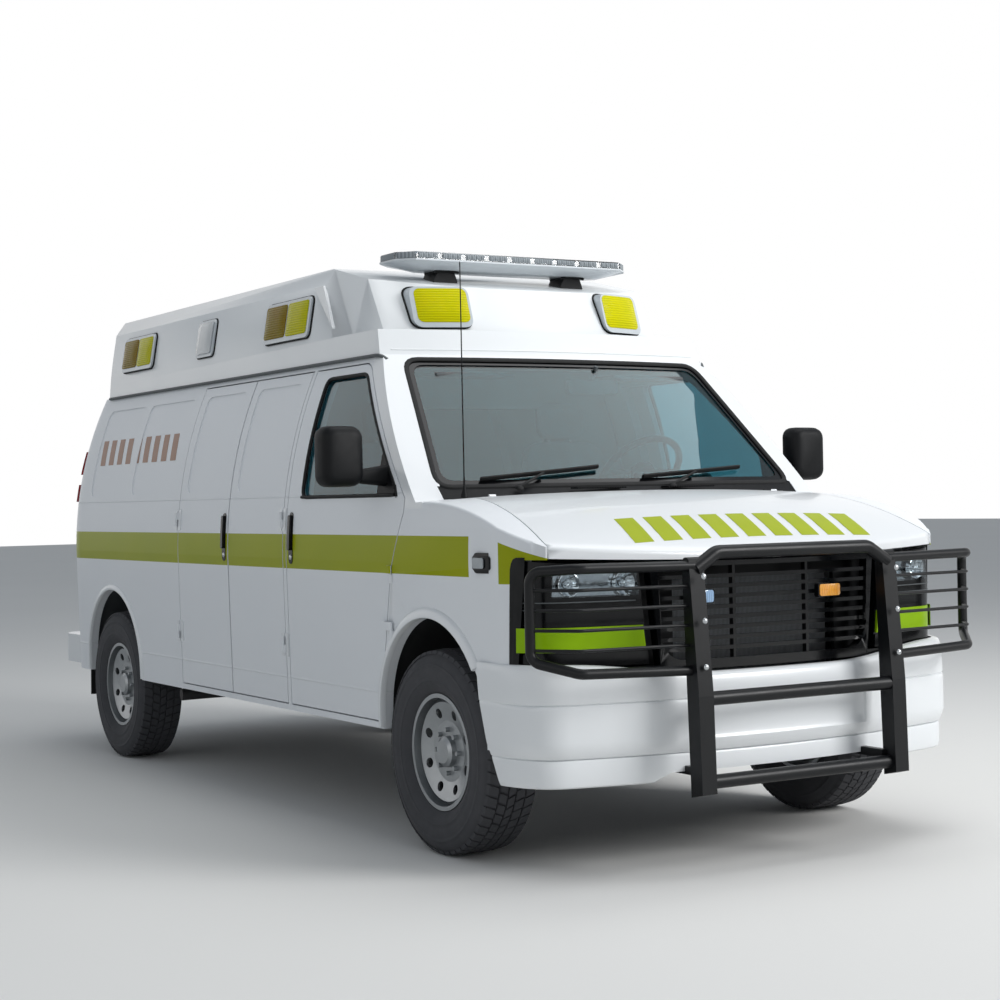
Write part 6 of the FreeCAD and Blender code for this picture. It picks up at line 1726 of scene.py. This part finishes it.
@dataclass
class Studio:
    """Pale floor, soft lamps, white surround and the camera."""

    eye: tuple[float, float, float] = (-4.4233, -8.0078, 1.3375)
    yaw: float = 31.0022
    pitch: float = -0.0165
    roll: float = -1.1542
    focal_px: float = 1889.97
    frame_px: float = 1000.0
    sensor: float = 36.0
    lamps: tuple[tuple[str, tuple[float, ...], tuple[float, ...], float, float], ...] = (
        # name, spot, aim, size and watts
        ("key_lamp", (6.5, -11.0, 6.5), (0.0, -2.2, 1.0), 5.0, 1040.0),
        ("top_lamp", (2.0, -1.5, 8.5), (0.0, -0.5, 1.0), 7.0, 300.0),
        ("fill_lamp", (-9.0, -4.0, 5.0), (0.0, 0.0, 1.0), 6.0, 40.0),
    )

    def build(self) -> None:
        """Sets up floor, world, lamps and camera."""
        base = bmesh.new()
        bmesh.ops.create_grid(base, x_segments=2, y_segments=2, size=60.0)
        mesh = bpy.data.meshes.new("studio_floor")
        base.to_mesh(mesh)
        base.free()
        floor = stand("studio_floor", mesh)
        mesh.materials.append(FLOOR_STUDIO.material())
        self.surround()
        for name, spot, aim, size, watts in self.lamps:
            light = bpy.data.lights.new(name, "AREA")
            light.size, light.energy = size, watts
            lamp = stand(name, light)
            lamp.location = spot
            lamp.rotation_euler = (Vector(aim) - Vector(spot)).to_track_quat("-Z", "Y").to_euler()
        self.camera()

    def surround(self) -> None:
        """A world that is white to the camera, to gloss and through glass, and soft elsewhere."""
        world = bpy.data.worlds.new("studio_surround")
        world.use_nodes = True
        nodes = Nodes(world.node_tree)
        path = nodes.add("ShaderNodeLightPath").outputs
        seen = nodes.math("MAXIMUM", path["Is Camera Ray"], path["Is Glossy Ray"])
        seen = nodes.math("MAXIMUM", seen, path["Is Transmission Ray"])
        # overhead the surround stays soft for every ray, so sloping glass mirrors a darker dome than the horizon
        height = nodes.split(nodes.texture("Generated"))["Z"]
        seen = nodes.math("MULTIPLY", seen, nodes.span(height, 0.3, 0.62, 1.0, 0.0, "SMOOTHSTEP"))
        soft = nodes.add("ShaderNodeBackground", {"Color": linear("#e6eff9"), "Strength": 0.4}).outputs[0]
        white = nodes.add("ShaderNodeBackground", {"Color": (1.0, 1.0, 1.0, 1.0), "Strength": 1.0}).outputs[0]
        mix = nodes.add("ShaderNodeMixShader", {0: seen, 1: soft, 2: white}).outputs[0]
        nodes.add("ShaderNodeOutputWorld", {"Surface": mix})
        bpy.context.scene.world = world

    def camera(self) -> None:
        """The camera, from its solved place and direction."""
        yaw, pitch, roll = (math.radians(a) for a in (self.yaw, self.pitch, self.roll))
        ahead = Vector((math.sin(yaw) * math.cos(pitch), math.cos(yaw) * math.cos(pitch), math.sin(pitch)))
        right = ahead.cross(UP).normalized()
        up = right.cross(ahead)
        c, s = math.cos(roll), math.sin(roll)
        right, up = right * c + up * s, up * c - right * s
        lens = bpy.data.cameras.new("studio_camera")
        lens.sensor_width = self.sensor
        lens.lens = self.focal_px * self.sensor / self.frame_px
        lens.clip_end = 200.0
        made = stand("studio_camera", lens)
        made.matrix_world = Matrix.Translation(self.eye) @ Matrix((right, up, -ahead)).transposed().to_4x4()
        bpy.context.scene.camera = made


def main() -> None:
    """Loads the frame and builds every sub-assembly in order."""
    logging.basicConfig(level=logging.INFO, format="%(name)s: %(message)s")
    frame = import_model()
    NODES.update(frame["nodes"])
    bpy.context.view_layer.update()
    repeater = Repeater()
    Bodywork().build()
    SoftPanels().build()
    Aerial().build()
    for word in ("right", "left"):
        for end in ("front", "rear"):
            Tyre("tyre_%s_%s" % (end, word), "wheel_%s_%s" % (end, word)).build(repeater)
    LightBar().build(repeater)
    RoofLamps().build()
    CapTrim().build()
    WindowSeals().build()
    Wipers().build(repeater)
    DoorFurniture().build()
    ArchLips().build()
    FrontBumper().build(repeater)
    Headlamps().build()
    GrilleLamps().build()
    GuardBolts().build(repeater)
    WingLamps().build()
    for side in SIDES:
        DoorMirror(side).build()
    seats = [Seat(side).build() for side in SIDES]
    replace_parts(seats[0], "seats")
    Cabin().build(repeater)
    RearFittings().build(repeater)
    SafetyMarks().build()
    Studio().build()
    bpy.context.scene.view_settings.view_transform = "Standard"


if __name__ == "__main__":
    main()
